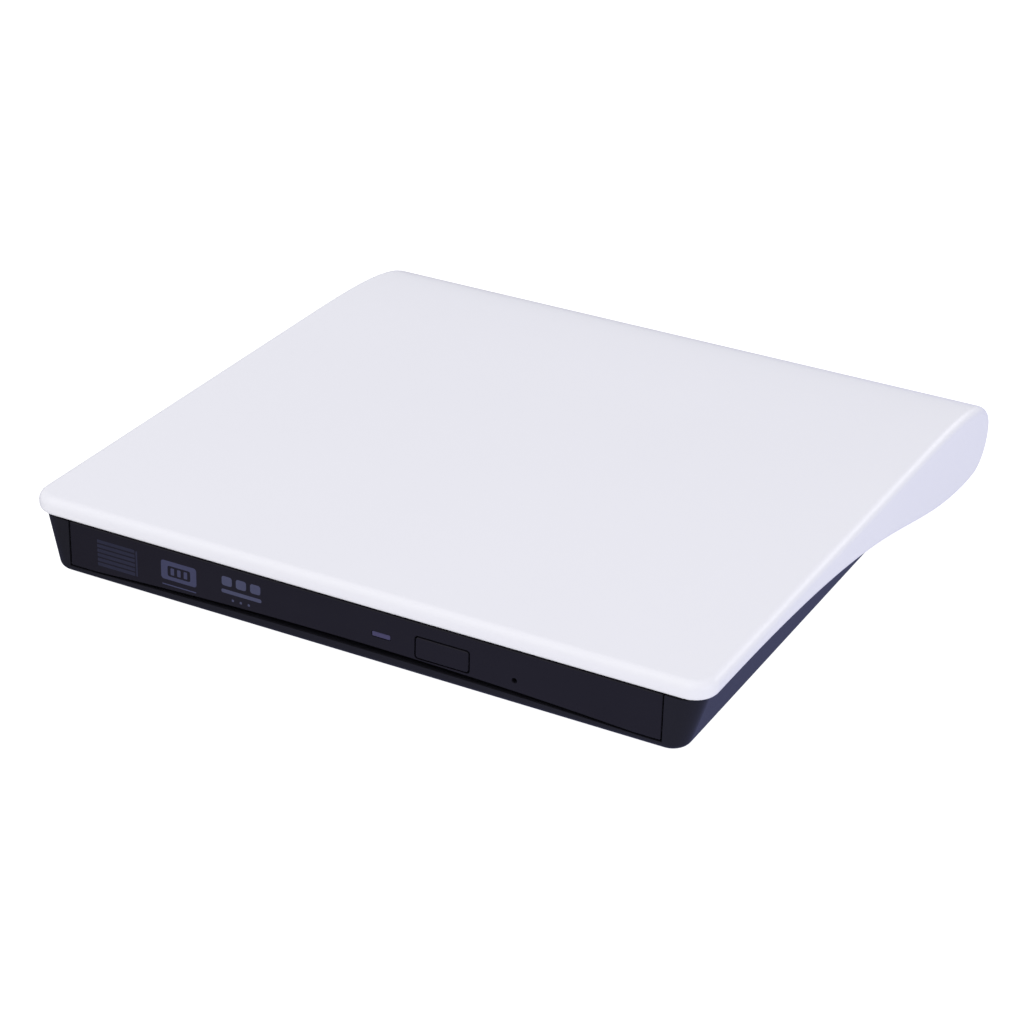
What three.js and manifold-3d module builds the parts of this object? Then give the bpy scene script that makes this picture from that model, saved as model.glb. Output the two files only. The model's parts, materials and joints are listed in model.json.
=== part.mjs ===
// External slim optical drive: a white wave-shaped cover over a black base, with a
// 9.5 mm tray-loading drive inside. Units are millimetres and +Z is up.
//
// The housing is designed in "slab" coordinates: x to the right, y from the front to the
// rear, z up from the flat top face (z = 0). One group then tilts the slab nose-down onto
// its feet and puts the origin on the floor under the middle of the object.
import * as THREE from 'three';
import { mergeVertices } from 'three/addons/utils/BufferGeometryUtils.js';
import Module from 'manifold-3d';

const wasm = await Module();
wasm.setup();

// ---- driving dimensions ---------------------------------------------------------------

const GAP = 0.3; // clearance kept between neighbouring pieces
const OVERLAP = 1; // how far a cutter runs past the face that it cuts
const FAR = 40; // reach of a cutter that only has to leave the part

const COVER = {
  halfWidth: 73,
  frontY: -4.5,
  lip: 4, // thickness of the rim that overhangs the bezel
  nose: 1.9, // rounding of the rim's front edges
  edge: 1.7, // rounding of the long side edges
  cornerRadius: 5,
  roof: 2.2, // wall thickness over the drive
  side: 1.5, // wall thickness of the side wings
  sweepStartY: 5, // where the side wing starts to deepen
  sweepPullY: 90,
  sweepEndY: 97,
  tailStartY: 100, // where the flat top starts to fall
  tailPullY: 125,
};
const TAIL = { y: 134.2, z: -10, radius: 9, wall: 2.2 };
const BELLY = { frontY: 108.5, z: -19.1, floorZ: -14.3 };

const BASE = {
  frontY: -3.7,
  topZ: -4.3,
  bottomZ: -15.56,
  rearY: 108.2,
  topHalfWidth: 71.4,
  sideSlope: 0.285, // how much each side draws in per millimetre of depth
  edge: 1.3, // rounding of the lower edge
  wall: 1.5,
  floorTopZ: -14.1,
  cornerRadius: 4.5,
};
const HOUSING_SCREW = { x: 65.5, headRadius: 1.4, holeRadius: 0.7, bossRadius: 1.3, sink: 0.8 };
const HOUSING_SCREWS = [['front', 16], ['rear', 98]];
const VENT = { count: 7, y: 84, pitch: 2.6, width: 1.1, halfLength: 14 };

const DRIVE = {
  halfWidth: 63.9,
  frontY: 0.4,
  rearY: 126,
  topZ: -4.3,
  bottomZ: -13.8,
  sheet: 0.5,
};
const BEZEL = { halfWidth: 64, frontY: -3.7, rearY: -0.3, face: 1.6, rim: 1.4, lowerRim: 2.5 };
// The shallow finger arch along the bezel's lower edge, and the base's lip that follows it.
const ARCH = { halfWidth: 60, height: 1.8, lipHeight: 0.8 };
const BUTTON = { x: 19.3, z: -9.45, width: 11.1, height: 4.3, corner: 0.9 };
const LED = { x: 6.3, z: -9.25, width: 3.9, height: 1 };
const PINHOLE = { x: 34.4, z: -10.4, radius: 0.55 };

const TRAY = {
  halfWidth: 60.8,
  wingHalfWidth: 62.6,
  frontY: 0.6,
  rearY: 120,
  topZ: -6,
  wingBottomZ: -8.3,
  deckBottomZ: -9,
  skirtBottomZ: -12.5,
  wall: 0.8,
};
const DISC = { y: 62, recessRadius: 60.6, recessZ: -8.2, smallRadius: 40.5, smallZ: -8.5 };

// The pickup travels along a diagonal from the disc centre to the front right corner.
const TRAVERSE_ANGLE = -Math.PI / 4;
const FRAME = { u0: -16, u1: 65, v0: -14.8, v1: 20.5, topZ: -12.1, bottomZ: -12.6 };
const PICKUP = { u: 22.5, halfLength: 7, v0: -13.6, v1: 13.6, topZ: -9.4, bottomZ: -12.3 };
const RODS = [-12, 12]; // sideways places of the two guide rods
const ROD = { radius: 1, z: -11, u0: 13, u1: 63.9 };
const SCREW = { v: 17.4, z: -10.9, radius: 0.9, u0: 9.2, u1: 64 };
const LENS = { u: 24, radius: 2, z: -9.3 };
const HUB = { tableRadius: 13, tableZ: -7.4, hubRadius: 7.3, hubTopZ: -5.2 };

const CLAW_ANGLES = [0, 1, 2].map((i) => (i / 3) * 2 * Math.PI + Math.PI / 2);
const DAMPERS = [[-13, -10], [-13, 15], [8, -12.4]]; // (u, v) places of the rubber dampers

// The steel rail slides in the fixed guide, and the tray slides on the rail.
const RAIL = { x0: 61.2, x1: 61.9, y0: 5.2, y1: 118, z0: -12, z1: -8.6 };
const GUIDE = { x0: 62.1, x1: 63.1, y0: 0.8, y1: 112, z0: -12.6, z1: -8.5 };
const LATCH = { x: 56, y: 17, topZ: -9.5, bottomZ: -10.8 };
const SOLENOID = { x0: 45, x1: 52, y: 4.6, z: -11, radius: 1.35 };

const MAIN_BOARD = { topZ: -12.3, thickness: 0.6 };
const SATA = { x0: -42, x1: -20, y0: 120.6, z0: -12, z1: -8.6 };
const FLEX = { x0: -52, x1: -38, film: 0.2, lowZ: -13.1, highZ: -10.9 };
const FLEX_RUN = { foldY: 12, lowRearY: 68, highRearY: 40 };
const SOCKET = { x: 20, y: 141, z: -10, width: 7.9, height: 4, depth: 9, wall: 0.4 };
const SOCKET_RECESS = { halfWidth: 6.5, halfHeight: 4.2, radius: 1.5, wallFrontY: 139.4, margin: 1.9 };
const BOARD = { x0: -46, x1: 36, y0: 127.4, y1: 139, topZ: -12.3, thickness: 0.8 };

const FRONT_FOOT = { x: 58, y: 9, radius: 4, height: 2, sink: 0.6 };
const REAR_FOOT = { x: 52, y: 131, length: 16, width: 5, height: 0.8, sink: 0.9 };
const SIDES = [['left', -1], ['right', 1]];

// The line under both pairs of feet sets the tilt of the slab.
const FRONT_FOOT_Z = BASE.bottomZ - FRONT_FOOT.height;
const REAR_FOOT_Z = BELLY.z - REAR_FOOT.height;
const TILT = Math.atan2(FRONT_FOOT_Z - REAR_FOOT_Z, REAR_FOOT.y - FRONT_FOOT.y);
const SIN = Math.sin(TILT);
const COS = Math.cos(TILT);

// Levelled extents of the tail circle and of the rim's upper front rounding, for the origin.
const REAR_EXTENT = TAIL.y * COS - TAIL.z * SIN + TAIL.radius;
const FRONT_EXTENT = (COVER.frontY + COVER.nose) * COS + COVER.nose * SIN - COVER.nose;
const ORIGIN_Y = -(REAR_EXTENT + FRONT_EXTENT) / 2;
const ORIGIN_Z = -(FRONT_FOOT.y * SIN + FRONT_FOOT_Z * COS);

// Where a point of the slab lies after the tilt.
function levelled(y, z) {
  return { y: y * COS - z * SIN + ORIGIN_Y, z: y * SIN + z * COS + ORIGIN_Z };
}

// ---- materials ------------------------------------------------------------------------

function finish(color, roughness, metalness) {
  return new THREE.MeshStandardMaterial({ color, roughness, metalness });
}

const whitePlastic = finish(0xe9e8f1, 0.35, 0);
const blackPlastic = finish(0x15161f, 0.45, 0);
const blackGloss = finish(0x0d0e17, 0.2, 0);
const trayPlastic = finish(0x1b1c20, 0.55, 0);
const rubber = finish(0x222224, 0.9, 0);
const steel = finish(0xb9bcc0, 0.35, 1);
const darkSteel = finish(0x6f7276, 0.4, 1);
const brass = finish(0xb89a4a, 0.35, 1);
const circuitBoard = finish(0x1d5a38, 0.5, 0);
const chipBlack = finish(0x17181a, 0.6, 0);
const connectorPlastic = finish(0x2a2a2c, 0.5, 0);
const naturalPlastic = finish(0xd9d6cb, 0.5, 0);
const flexFilm = finish(0xb0702a, 0.4, 0);
const lilacLens = finish(0xa79fd6, 0.25, 0);
const lensGlass = finish(0x9fb4d8, 0.05, 0);

// ---- solids: three.js geometries as closed bodies, joined and cut -----------------------

function toSolid(geometry) {
  const bare = geometry.clone();
  bare.deleteAttribute('normal');
  bare.deleteAttribute('uv');
  const merged = mergeVertices(bare, 1e-4);
  const index = merged.index.array;
  const triangles = [];
  for (let i = 0; i < index.length; i += 3) {
    const [a, b, c] = [index[i], index[i + 1], index[i + 2]];
    if (a !== b && b !== c && c !== a) triangles.push(a, b, c);
  }
  return new wasm.Manifold(new wasm.Mesh({
    numProp: 3,
    vertProperties: new Float32Array(merged.attributes.position.array),
    triVerts: new Uint32Array(triangles),
  }));
}

function toGeometry(solid) {
  const mesh = solid.getMesh();
  const geometry = new THREE.BufferGeometry();
  geometry.setAttribute('position', new THREE.BufferAttribute(mesh.vertProperties, 3));
  geometry.setIndex(new THREE.BufferAttribute(mesh.triVerts, 1));
  geometry.computeVertexNormals();
  return geometry;
}

function join(...solids) {
  return solids.reduce((all, solid) => all.add(solid));
}

function cut(solid, ...cutters) {
  return cutters.reduce((rest, cutter) => rest.subtract(cutter), solid);
}

function block(x0, x1, y0, y1, z0, z1) {
  const geometry = new THREE.BoxGeometry(x1 - x0, y1 - y0, z1 - z0);
  return toSolid(geometry.translate((x0 + x1) / 2, (y0 + y1) / 2, (z0 + z1) / 2));
}

function discAt(x, y, radius, z0, z1, sides = 24) {
  const geometry = new THREE.CylinderGeometry(radius, radius, z1 - z0, sides);
  return toSolid(geometry.rotateX(Math.PI / 2).translate(x, y, (z0 + z1) / 2));
}

function rodAlongX(x0, x1, y, z, radius, sides = 12) {
  const geometry = new THREE.CylinderGeometry(radius, radius, x1 - x0, sides);
  return toSolid(geometry.rotateZ(Math.PI / 2).translate((x0 + x1) / 2, y, z));
}

function rodAlongY(x, y0, y1, z, radius, sides = 12) {
  const geometry = new THREE.CylinderGeometry(radius, radius, y1 - y0, sides);
  return toSolid(geometry.translate(x, (y0 + y1) / 2, z));
}

// A plan outline (x, y) raised from z0 to z1.
function raise(shape, z0, z1, curveSegments = 2) {
  const options = { depth: z1 - z0, bevelEnabled: false, curveSegments };
  return toSolid(new THREE.ExtrudeGeometry(shape, options).translate(0, 0, z0));
}

// A side outline (y, z) carried from x0 to x1, with an optional rounded edge.
function sweepAcross(shape, x0, x1, edge = 0, curveSegments = 8) {
  const geometry = new THREE.ExtrudeGeometry(shape, {
    depth: x1 - x0 - 2 * edge,
    bevelEnabled: edge > 0,
    bevelThickness: edge,
    bevelSize: edge,
    bevelOffset: -edge,
    bevelSegments: 2,
    curveSegments,
  });
  geometry.translate(0, 0, x0 + edge);
  const toSide = new THREE.Matrix4().makeBasis(
    new THREE.Vector3(0, 1, 0),
    new THREE.Vector3(0, 0, 1),
    new THREE.Vector3(1, 0, 0),
  );
  return toSolid(geometry.applyMatrix4(toSide));
}

// A front outline (x, z) carried back from y0 to y1.
function pushBack(shape, y0, y1, curveSegments = 2) {
  const options = { depth: y1 - y0, bevelEnabled: false, curveSegments };
  const geometry = new THREE.ExtrudeGeometry(shape, options);
  const toFront = new THREE.Matrix4().makeBasis(
    new THREE.Vector3(1, 0, 0),
    new THREE.Vector3(0, 0, 1),
    new THREE.Vector3(0, -1, 0),
  );
  return toSolid(geometry.applyMatrix4(toFront).translate(0, y1, 0));
}

function roundedRectangle(x0, x1, y0, y1, radius) {
  const shape = new THREE.Shape();
  shape.absarc(x1 - radius, y1 - radius, radius, 0, Math.PI / 2);
  shape.absarc(x0 + radius, y1 - radius, radius, Math.PI / 2, Math.PI);
  shape.absarc(x0 + radius, y0 + radius, radius, Math.PI, 1.5 * Math.PI);
  shape.absarc(x1 - radius, y0 + radius, radius, 1.5 * Math.PI, 2 * Math.PI);
  return shape;
}

function polygon(points) {
  return new THREE.Shape(points.map(([x, y]) => new THREE.Vector2(x, y)));
}

// A closed skin over a stack of plan outlines that all have the same number of points.
function loft(rings) {
  const count = rings[0].length;
  const positions = rings.flat().flatMap((point) => [point.x, point.y, point.z]);
  const index = [];
  for (let ring = 0; ring < rings.length - 1; ring += 1) {
    for (let i = 0; i < count; i += 1) {
      const a = ring * count + i;
      const b = ring * count + ((i + 1) % count);
      index.push(a, b, a + count, b, b + count, a + count);
    }
  }
  const last = (rings.length - 1) * count;
  const outline = rings[0].map((point) => new THREE.Vector2(point.x, point.y));
  for (const [a, b, c] of THREE.ShapeUtils.triangulateShape(outline, [])) {
    index.push(a, c, b, last + a, last + b, last + c);
  }
  const geometry = new THREE.BufferGeometry();
  geometry.setAttribute('position', new THREE.Float32BufferAttribute(positions, 3));
  geometry.setIndex(index);
  return toSolid(geometry);
}

// ---- scene graph ----------------------------------------------------------------------

const drive = new THREE.Group();
const slab = new THREE.Group();
slab.rotation.x = TILT;
slab.position.set(0, ORIGIN_Y, ORIGIN_Z);
const traverse = new THREE.Group();
traverse.position.set(0, DISC.y, 0);
traverse.rotation.z = TRAVERSE_ANGLE;
slab.add(traverse);
drive.add(slab);

function addPart(name, solid, material, parent = slab) {
  const mesh = new THREE.Mesh(toGeometry(solid), material);
  mesh.name = name;
  parent.add(mesh);
  return mesh;
}

// ---- housing --------------------------------------------------------------------------

// Side outline (y, z) of the cover: flat top, falling tail, round rear, belly, swept side.
function coverOutline() {
  const { frontY, lip, nose, sweepStartY, sweepPullY, sweepEndY, tailStartY, tailPullY } = COVER;
  const noseY = frontY + nose;
  const shape = new THREE.Shape();
  shape.moveTo(noseY, 0);
  shape.lineTo(tailStartY, 0);
  shape.bezierCurveTo(tailPullY, 0, TAIL.y + TAIL.radius, -1, TAIL.y + TAIL.radius, TAIL.z);
  shape.absarc(TAIL.y, TAIL.z, TAIL.radius, 0, -Math.PI / 2, true);
  shape.bezierCurveTo(sweepEndY, BELLY.z, sweepPullY, -lip, sweepStartY, -lip);
  shape.lineTo(noseY, -lip);
  shape.absarc(noseY, nose - lip, nose, -Math.PI / 2, -Math.PI, true);
  shape.absarc(noseY, -nose, nose, -Math.PI, -1.5 * Math.PI, true);
  return shape;
}

// Side outline (y, z) of the space in the tail, closed below by the belly's floor.
function tailHollow(wallTopZ) {
  const { roof, tailStartY, tailPullY } = COVER;
  const innerRadius = TAIL.radius - TAIL.wall;
  const rearY = TAIL.y + innerRadius;
  const shape = new THREE.Shape();
  shape.moveTo(tailStartY, -roof);
  shape.bezierCurveTo(tailPullY, -roof, rearY, -1 - roof, rearY, TAIL.z);
  shape.absarc(TAIL.y, TAIL.z, innerRadius, 0, -Math.PI / 2, true);
  shape.quadraticCurveTo(BELLY.frontY + 9, TAIL.z - innerRadius, BELLY.frontY, BELLY.floorZ);
  shape.lineTo(BELLY.frontY, wallTopZ);
  shape.lineTo(tailStartY, wallTopZ);
  return shape;
}

// Room for the drive and the tail's board, and for the base with an even gap all round it.
function coverSpaces() {
  const inside = COVER.halfWidth - COVER.side;
  const frontWallY = COVER.frontY + 3.5;
  const wallTopZ = BASE.topZ - GAP;
  const underRoof = block(-inside, inside, frontWallY, COVER.tailStartY, wallTopZ, -COVER.roof);
  const aroundBase = baseBody(-GAP, BELLY.frontY, BASE.topZ);
  const flatHalfWidth = baseHalfWidth(BASE.bottomZ + BASE.edge) - BASE.edge + GAP;
  const underBase = block(
    -flatHalfWidth, flatHalfWidth, 0, BELLY.frontY, -FAR, BASE.bottomZ + OVERLAP,
  );
  return [underRoof, aroundBase, underBase, sweepAcross(tailHollow(wallTopZ), -inside, inside)];
}

// The rim's rounded front corner. A lathe turns about Y, so the result is turned up to +Z.
function coverCorner(side) {
  const { cornerRadius, lip, nose, halfWidth, frontY } = COVER;
  const profile = new THREE.Path();
  profile.moveTo(0, -lip);
  profile.lineTo(cornerRadius - nose, -lip);
  profile.absarc(cornerRadius - nose, nose - lip, nose, -Math.PI / 2, 0);
  profile.absarc(cornerRadius - nose, -nose, nose, 0, Math.PI / 2);
  profile.lineTo(0, 0);
  const geometry = new THREE.LatheGeometry(profile.getPoints(2), 32);
  geometry.rotateX(Math.PI / 2);
  return toSolid(geometry.translate(side * (halfWidth - cornerRadius), frontY + cornerRadius, 0));
}

// The square corner that gives way to the round one.
function coverCornerCutter(side) {
  const inner = COVER.halfWidth - COVER.cornerRadius;
  const outer = COVER.halfWidth + OVERLAP;
  const [x0, x1] = side > 0 ? [inner, outer] : [-outer, -inner];
  return block(x0, x1, COVER.frontY - OVERLAP, COVER.frontY + COVER.cornerRadius, -FAR, OVERLAP);
}

function screwBoss(side, y) {
  const { bossRadius, holeRadius } = HOUSING_SCREW;
  const x = side * HOUSING_SCREW.x;
  const boss = discAt(x, y, bossRadius, BASE.floorTopZ + GAP, -COVER.roof + OVERLAP, 20);
  return cut(boss, discAt(x, y, holeRadius, -FAR, -8, 12));
}

// Thickened wall behind the flat plug recess in the round rear.
function socketWall() {
  const { halfWidth, halfHeight, wallFrontY, margin } = SOCKET_RECESS;
  const [w, h] = [halfWidth + margin, halfHeight + margin / 2];
  const wall = block(SOCKET.x - w, SOCKET.x + w, wallFrontY, 142, SOCKET.z - h, SOCKET.z + h);
  return wall.intersect(sweepAcross(coverOutline(), SOCKET.x - 10, SOCKET.x + 10));
}

function socketOpening() {
  const { halfWidth, halfHeight, radius } = SOCKET_RECESS;
  const mouthY = SOCKET.y + GAP;
  const outline = roundedRectangle(
    SOCKET.x - halfWidth, SOCKET.x + halfWidth, SOCKET.z - halfHeight, SOCKET.z + halfHeight, radius,
  );
  const [w, h] = [SOCKET.width / 2 + GAP, SOCKET.height / 2 + GAP];
  const hole = block(SOCKET.x - w, SOCKET.x + w, 136, 144, SOCKET.z - h, SOCKET.z + h);
  return pushBack(outline, mouthY, mouthY + 8).add(hole);
}

function rearFootPocket(side) {
  const { x, y, length, width, sink } = REAR_FOOT;
  const [w, h] = [length / 2 + GAP, width / 2 + GAP];
  return block(side * x - w, side * x + w, y - h, y + h, -FAR, BELLY.z + sink);
}

function topCover() {
  let shell = sweepAcross(coverOutline(), -COVER.halfWidth, COVER.halfWidth, COVER.edge, 12);
  for (const [, side] of SIDES) {
    shell = cut(shell, coverCornerCutter(side)).add(coverCorner(side));
  }
  shell = cut(shell, ...coverSpaces());
  for (const [, side] of SIDES) {
    for (const [, y] of HOUSING_SCREWS) shell = shell.add(screwBoss(side, y));
    shell = cut(shell, rearFootPocket(side));
  }
  return cut(shell.add(socketWall()), socketOpening());
}

// One level of the base: a plan outline with round front corners and a square rear.
function baseRing(halfWidth, frontY, radius, rearY, z) {
  const shape = new THREE.Path();
  shape.moveTo(halfWidth, rearY);
  shape.lineTo(-halfWidth, rearY);
  shape.absarc(-halfWidth + radius, frontY + radius, radius, Math.PI, 1.5 * Math.PI);
  shape.absarc(halfWidth - radius, frontY + radius, radius, 1.5 * Math.PI, 2 * Math.PI);
  return shape.getPoints(4).map((point) => new THREE.Vector3(point.x, point.y, z));
}

function baseHalfWidth(z) {
  return BASE.topHalfWidth + (z - BASE.topZ) * BASE.sideSlope;
}

// The base's sloped skin with a round lower edge, drawn in by an even inset.
function baseBody(inset, rearY, topZ) {
  const { frontY, cornerRadius, edge, bottomZ } = BASE;
  const edgeZ = bottomZ + edge;
  const steps = 3;
  const rings = [];
  for (let step = 0; step <= steps; step += 1) {
    const angle = (step / steps) * (Math.PI / 2);
    const drawIn = edge * (1 - Math.sin(angle));
    const z = edgeZ - edge * Math.cos(angle);
    const halfWidth = baseHalfWidth(edgeZ) - drawIn - inset;
    rings.push(baseRing(halfWidth, frontY + drawIn / 2 + inset, cornerRadius - 0.5 - inset, rearY, z));
  }
  rings.push(baseRing(baseHalfWidth(topZ) - inset, frontY + inset, cornerRadius - inset, rearY, topZ));
  return loft(rings);
}

function baseScrewHole(side, y) {
  const x = side * HOUSING_SCREW.x;
  const shank = discAt(x, y, HOUSING_SCREW.holeRadius + GAP, -FAR, 0, 16);
  const headHole = discAt(x, y, HOUSING_SCREW.headRadius + GAP, -FAR, BASE.bottomZ + HOUSING_SCREW.sink, 20);
  return shank.add(headHole);
}

function frontFootPocket(side) {
  const { x, y, radius, sink } = FRONT_FOOT;
  return discAt(side * x, y, radius + GAP, -FAR, BASE.bottomZ + sink);
}

function ventSlots() {
  const slots = [];
  for (let i = 0; i < VENT.count; i += 1) {
    const y = VENT.y + i * VENT.pitch;
    slots.push(block(-VENT.halfLength, VENT.halfLength, y, y + VENT.width, -FAR, 0));
  }
  return slots;
}

// Points (x, z) of a shallow arch that rises from z0, from left to right.
function archPoints(z0, height) {
  const points = [];
  const steps = 16;
  for (let i = 0; i <= steps; i += 1) {
    const across = (2 * i) / steps - 1;
    points.push([across * ARCH.halfWidth, z0 + height * (1 - across * across)]);
  }
  return points;
}

// The tray's opening in the base's front wall.
function mouth() {
  const halfWidth = BEZEL.halfWidth + GAP;
  const lowZ = DRIVE.bottomZ - GAP;
  const arch = archPoints(lowZ, ARCH.lipHeight);
  const outline = polygon([[halfWidth, 0], [-halfWidth, 0], [-halfWidth, lowZ], ...arch, [halfWidth, lowZ]]);
  return pushBack(outline, BASE.frontY - OVERLAP, OVERLAP);
}

function baseShell() {
  const skin = baseBody(0, BASE.rearY, BASE.topZ);
  const space = baseBody(BASE.wall, BASE.rearY + OVERLAP, BASE.topZ + OVERLAP)
    .intersect(block(-FAR * 2, FAR * 2, -0.6, FAR * 3, BASE.floorTopZ, FAR));
  let shell = cut(skin, space, mouth(), ...ventSlots());
  for (const [, side] of SIDES) {
    for (const [, y] of HOUSING_SCREWS) shell = cut(shell, baseScrewHole(side, y));
    shell = cut(shell, frontFootPocket(side));
  }
  return shell;
}

function housingScrew(side, y) {
  const x = side * HOUSING_SCREW.x;
  const headTop = BASE.bottomZ + HOUSING_SCREW.sink - GAP / 2;
  const shank = discAt(x, y, HOUSING_SCREW.holeRadius - GAP, headTop - GAP, -9, 12);
  const head = discAt(x, y, HOUSING_SCREW.headRadius, headTop - 0.6, headTop, 20);
  const slot = block(x - 0.9, x + 0.9, y - 0.2, y + 0.2, -FAR, headTop - 0.3);
  return cut(shank.add(head), slot);
}

// The feet stand level on the floor, so they are built outside the tilted slab.
function frontFoot(side) {
  const top = levelled(FRONT_FOOT.y, BASE.bottomZ + FRONT_FOOT.sink - GAP);
  return discAt(side * FRONT_FOOT.x, top.y, FRONT_FOOT.radius, 0, top.z - 0.1);
}

function rearFoot(side) {
  const top = levelled(REAR_FOOT.y, BELLY.z + REAR_FOOT.sink - GAP);
  const { x, length, width } = REAR_FOOT;
  const outline = roundedRectangle(
    side * x - length / 2, side * x + length / 2, top.y - width / 2, top.y + width / 2, 1.5,
  );
  return raise(outline, 0, top.z - 0.1);
}

function buildHousing() {
  addPart('top_cover', topCover(), whitePlastic);
  addPart('base_shell', baseShell(), blackPlastic);
  for (const [sideName, side] of SIDES) {
    for (const [endName, y] of HOUSING_SCREWS) {
      addPart(`housing_screw_${endName}_${sideName}`, housingScrew(side, y), darkSteel);
    }
    addPart(`front_foot_${sideName}`, frontFoot(side), rubber, drive);
    addPart(`rear_foot_${sideName}`, rearFoot(side), rubber, drive);
  }
}

// ---- drive case, rails and electronics --------------------------------------------------

// A sheet-metal pan, open at the front and round the connector, with pressed-in grooves below.
function lowerCase() {
  const { halfWidth, frontY, rearY, topZ, bottomZ, sheet } = DRIVE;
  const [wallTop, floorZ] = [topZ - sheet - GAP, bottomZ + sheet];
  const outside = block(-halfWidth, halfWidth, frontY, rearY, bottomZ, wallTop);
  const innerHalf = halfWidth - sheet;
  const inside = block(-innerHalf, innerHalf, frontY - OVERLAP, rearY - sheet, floorZ, FAR);
  const sataGap = block(
    SATA.x0 - GAP, SATA.x1 + GAP, rearY - OVERLAP, rearY + OVERLAP, SATA.z0 - GAP, FAR,
  );
  const grooves = [-44, -16, 16, 44].map(
    (x) => raise(roundedRectangle(x - 3, x + 3, 24, 96, 2), -FAR, bottomZ + sheet / 2),
  );
  return cut(outside, inside, sataGap, ...grooves);
}

function topCase() {
  const { halfWidth, frontY, rearY, topZ, sheet } = DRIVE;
  const plate = raise(roundedRectangle(-halfWidth, halfWidth, frontY, rearY, 1), topZ - sheet, topZ);
  const disc = discAt(0, DISC.y, 50, topZ - 0.2, FAR, 40);
  const core = discAt(0, DISC.y, 20, topZ - OVERLAP, FAR);
  return cut(plate, cut(disc, core));
}

function mirroredBlock(side, x0, x1, y0, y1, z0, z1) {
  return side > 0 ? block(x0, x1, y0, y1, z0, z1) : block(-x1, -x0, y0, y1, z0, z1);
}

// The fixed rail is a channel open towards the tray; the right one has the latch's notch.
function guideRail(side) {
  const { x0, x1, y0, y1, z0, z1 } = GUIDE;
  const bar = mirroredBlock(side, x0, x1, y0, y1, z0, z1);
  const lipTop = RAIL.z0 - 0.2;
  const lip = mirroredBlock(side, RAIL.x0 + 0.2, x0 + 0.2, RAIL.y0 + 4, y1, lipTop - GAP, lipTop);
  const notch = mirroredBlock(side, x0 - OVERLAP, x0 + 0.8, 1.7, 4.8, LATCH.bottomZ - 0.4, z1 + OVERLAP);
  return side > 0 ? cut(join(bar, lip), notch) : join(bar, lip);
}

// The steel rail between tray and guide, ribbed along its length.
function slideRail(side) {
  const { x0, x1, y0, y1, z0, z1 } = RAIL;
  const bar = mirroredBlock(side, x0, x1, y0, y1, z0, z1);
  const groove = mirroredBlock(side, x0 - OVERLAP, x0 + 0.3, y0 + 3, y1 - 3, -10.8, -9.8);
  return cut(bar, groove);
}

function chip(x, y, width, length, z0, z1) {
  const body = block(x - width / 2, x + width / 2, y - length / 2, y + length / 2, z0, z1);
  return cut(body, discAt(x - width / 2 + 1, y - length / 2 + 1, 0.4, z1 - 0.1, z1 + OVERLAP, 10));
}

function mainBoard() {
  const outline = polygon([[-59, 70], [-30, 70], [-14, 92], [20, 104], [20, 119], [-59, 119]]);
  const board = raise(outline, MAIN_BOARD.topZ - MAIN_BOARD.thickness, MAIN_BOARD.topZ);
  const holes = [[-56, 73], [-56, 116], [17, 116]].map(([x, y]) => discAt(x, y, 1.1, -FAR, 0, 12));
  return cut(board, ...holes);
}

// The drive's slim connector: a blade housing with a power and a data slot.
function sataConnector() {
  const { x0, x1, y0, z0, z1 } = SATA;
  const body = block(x0, x1, y0, DRIVE.rearY, z0, z1);
  const [slotY, slotZ] = [y0 + 1.4, (z0 + z1) / 2];
  const dataSlot = block(x0 + 1.5, x0 + 9.5, slotY, FAR * 4, slotZ - 0.8, slotZ + 0.8);
  const powerSlot = block(x0 + 11.5, x1 - 1.5, slotY, FAR * 4, slotZ - 0.8, slotZ + 0.8);
  return cut(body, dataSlot, powerSlot);
}

// A flat ribbon on the case floor that folds back over itself under the tray.
function flexCable() {
  const { x0, x1, film, lowZ, highZ } = FLEX;
  const { foldY, lowRearY, highRearY } = FLEX_RUN;
  const half = film / 2;
  const bendRadius = (highZ - lowZ) / 2;
  const bendZ = (highZ + lowZ) / 2;
  const shape = new THREE.Shape();
  shape.moveTo(lowRearY, lowZ - half);
  shape.lineTo(lowRearY, lowZ + half);
  shape.lineTo(foldY, lowZ + half);
  shape.absarc(foldY, bendZ, bendRadius - half, 1.5 * Math.PI, Math.PI / 2, true);
  shape.lineTo(highRearY, highZ - half);
  shape.lineTo(highRearY, highZ + half);
  shape.lineTo(foldY, highZ + half);
  shape.absarc(foldY, bendZ, bendRadius + half, Math.PI / 2, 1.5 * Math.PI);
  return sweepAcross(shape, x0, x1, 0, 4);
}

function bridgeBoard() {
  const { x0, x1, y0, y1, topZ, thickness } = BOARD;
  const board = raise(roundedRectangle(x0, x1, y0, y1, 1), topZ - thickness, topZ);
  const holes = [[x0 + 3, y1 - 3], [x1 - 3, y0 + 3]].map(([x, y]) => discAt(x, y, 1.2, -FAR, 0, 16));
  return cut(board, ...holes);
}

function bridgePlug() {
  const front = DRIVE.rearY + GAP;
  const middleZ = (SATA.z0 + SATA.z1) / 2;
  const body = block(SATA.x0 + 0.3, SATA.x1 - 0.3, front, front + 4, SATA.z0 + GAP / 2, SATA.z1);
  const [y0, z0, z1] = [front - 3, middleZ - 0.4, middleZ + 0.4];
  const dataBlade = block(SATA.x0 + 2, SATA.x0 + 9, y0, front + OVERLAP, z0, z1);
  const powerBlade = block(SATA.x0 + 12, SATA.x1 - 2, y0, front + OVERLAP, z0, z1);
  return join(body, dataBlade, powerBlade);
}

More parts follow.
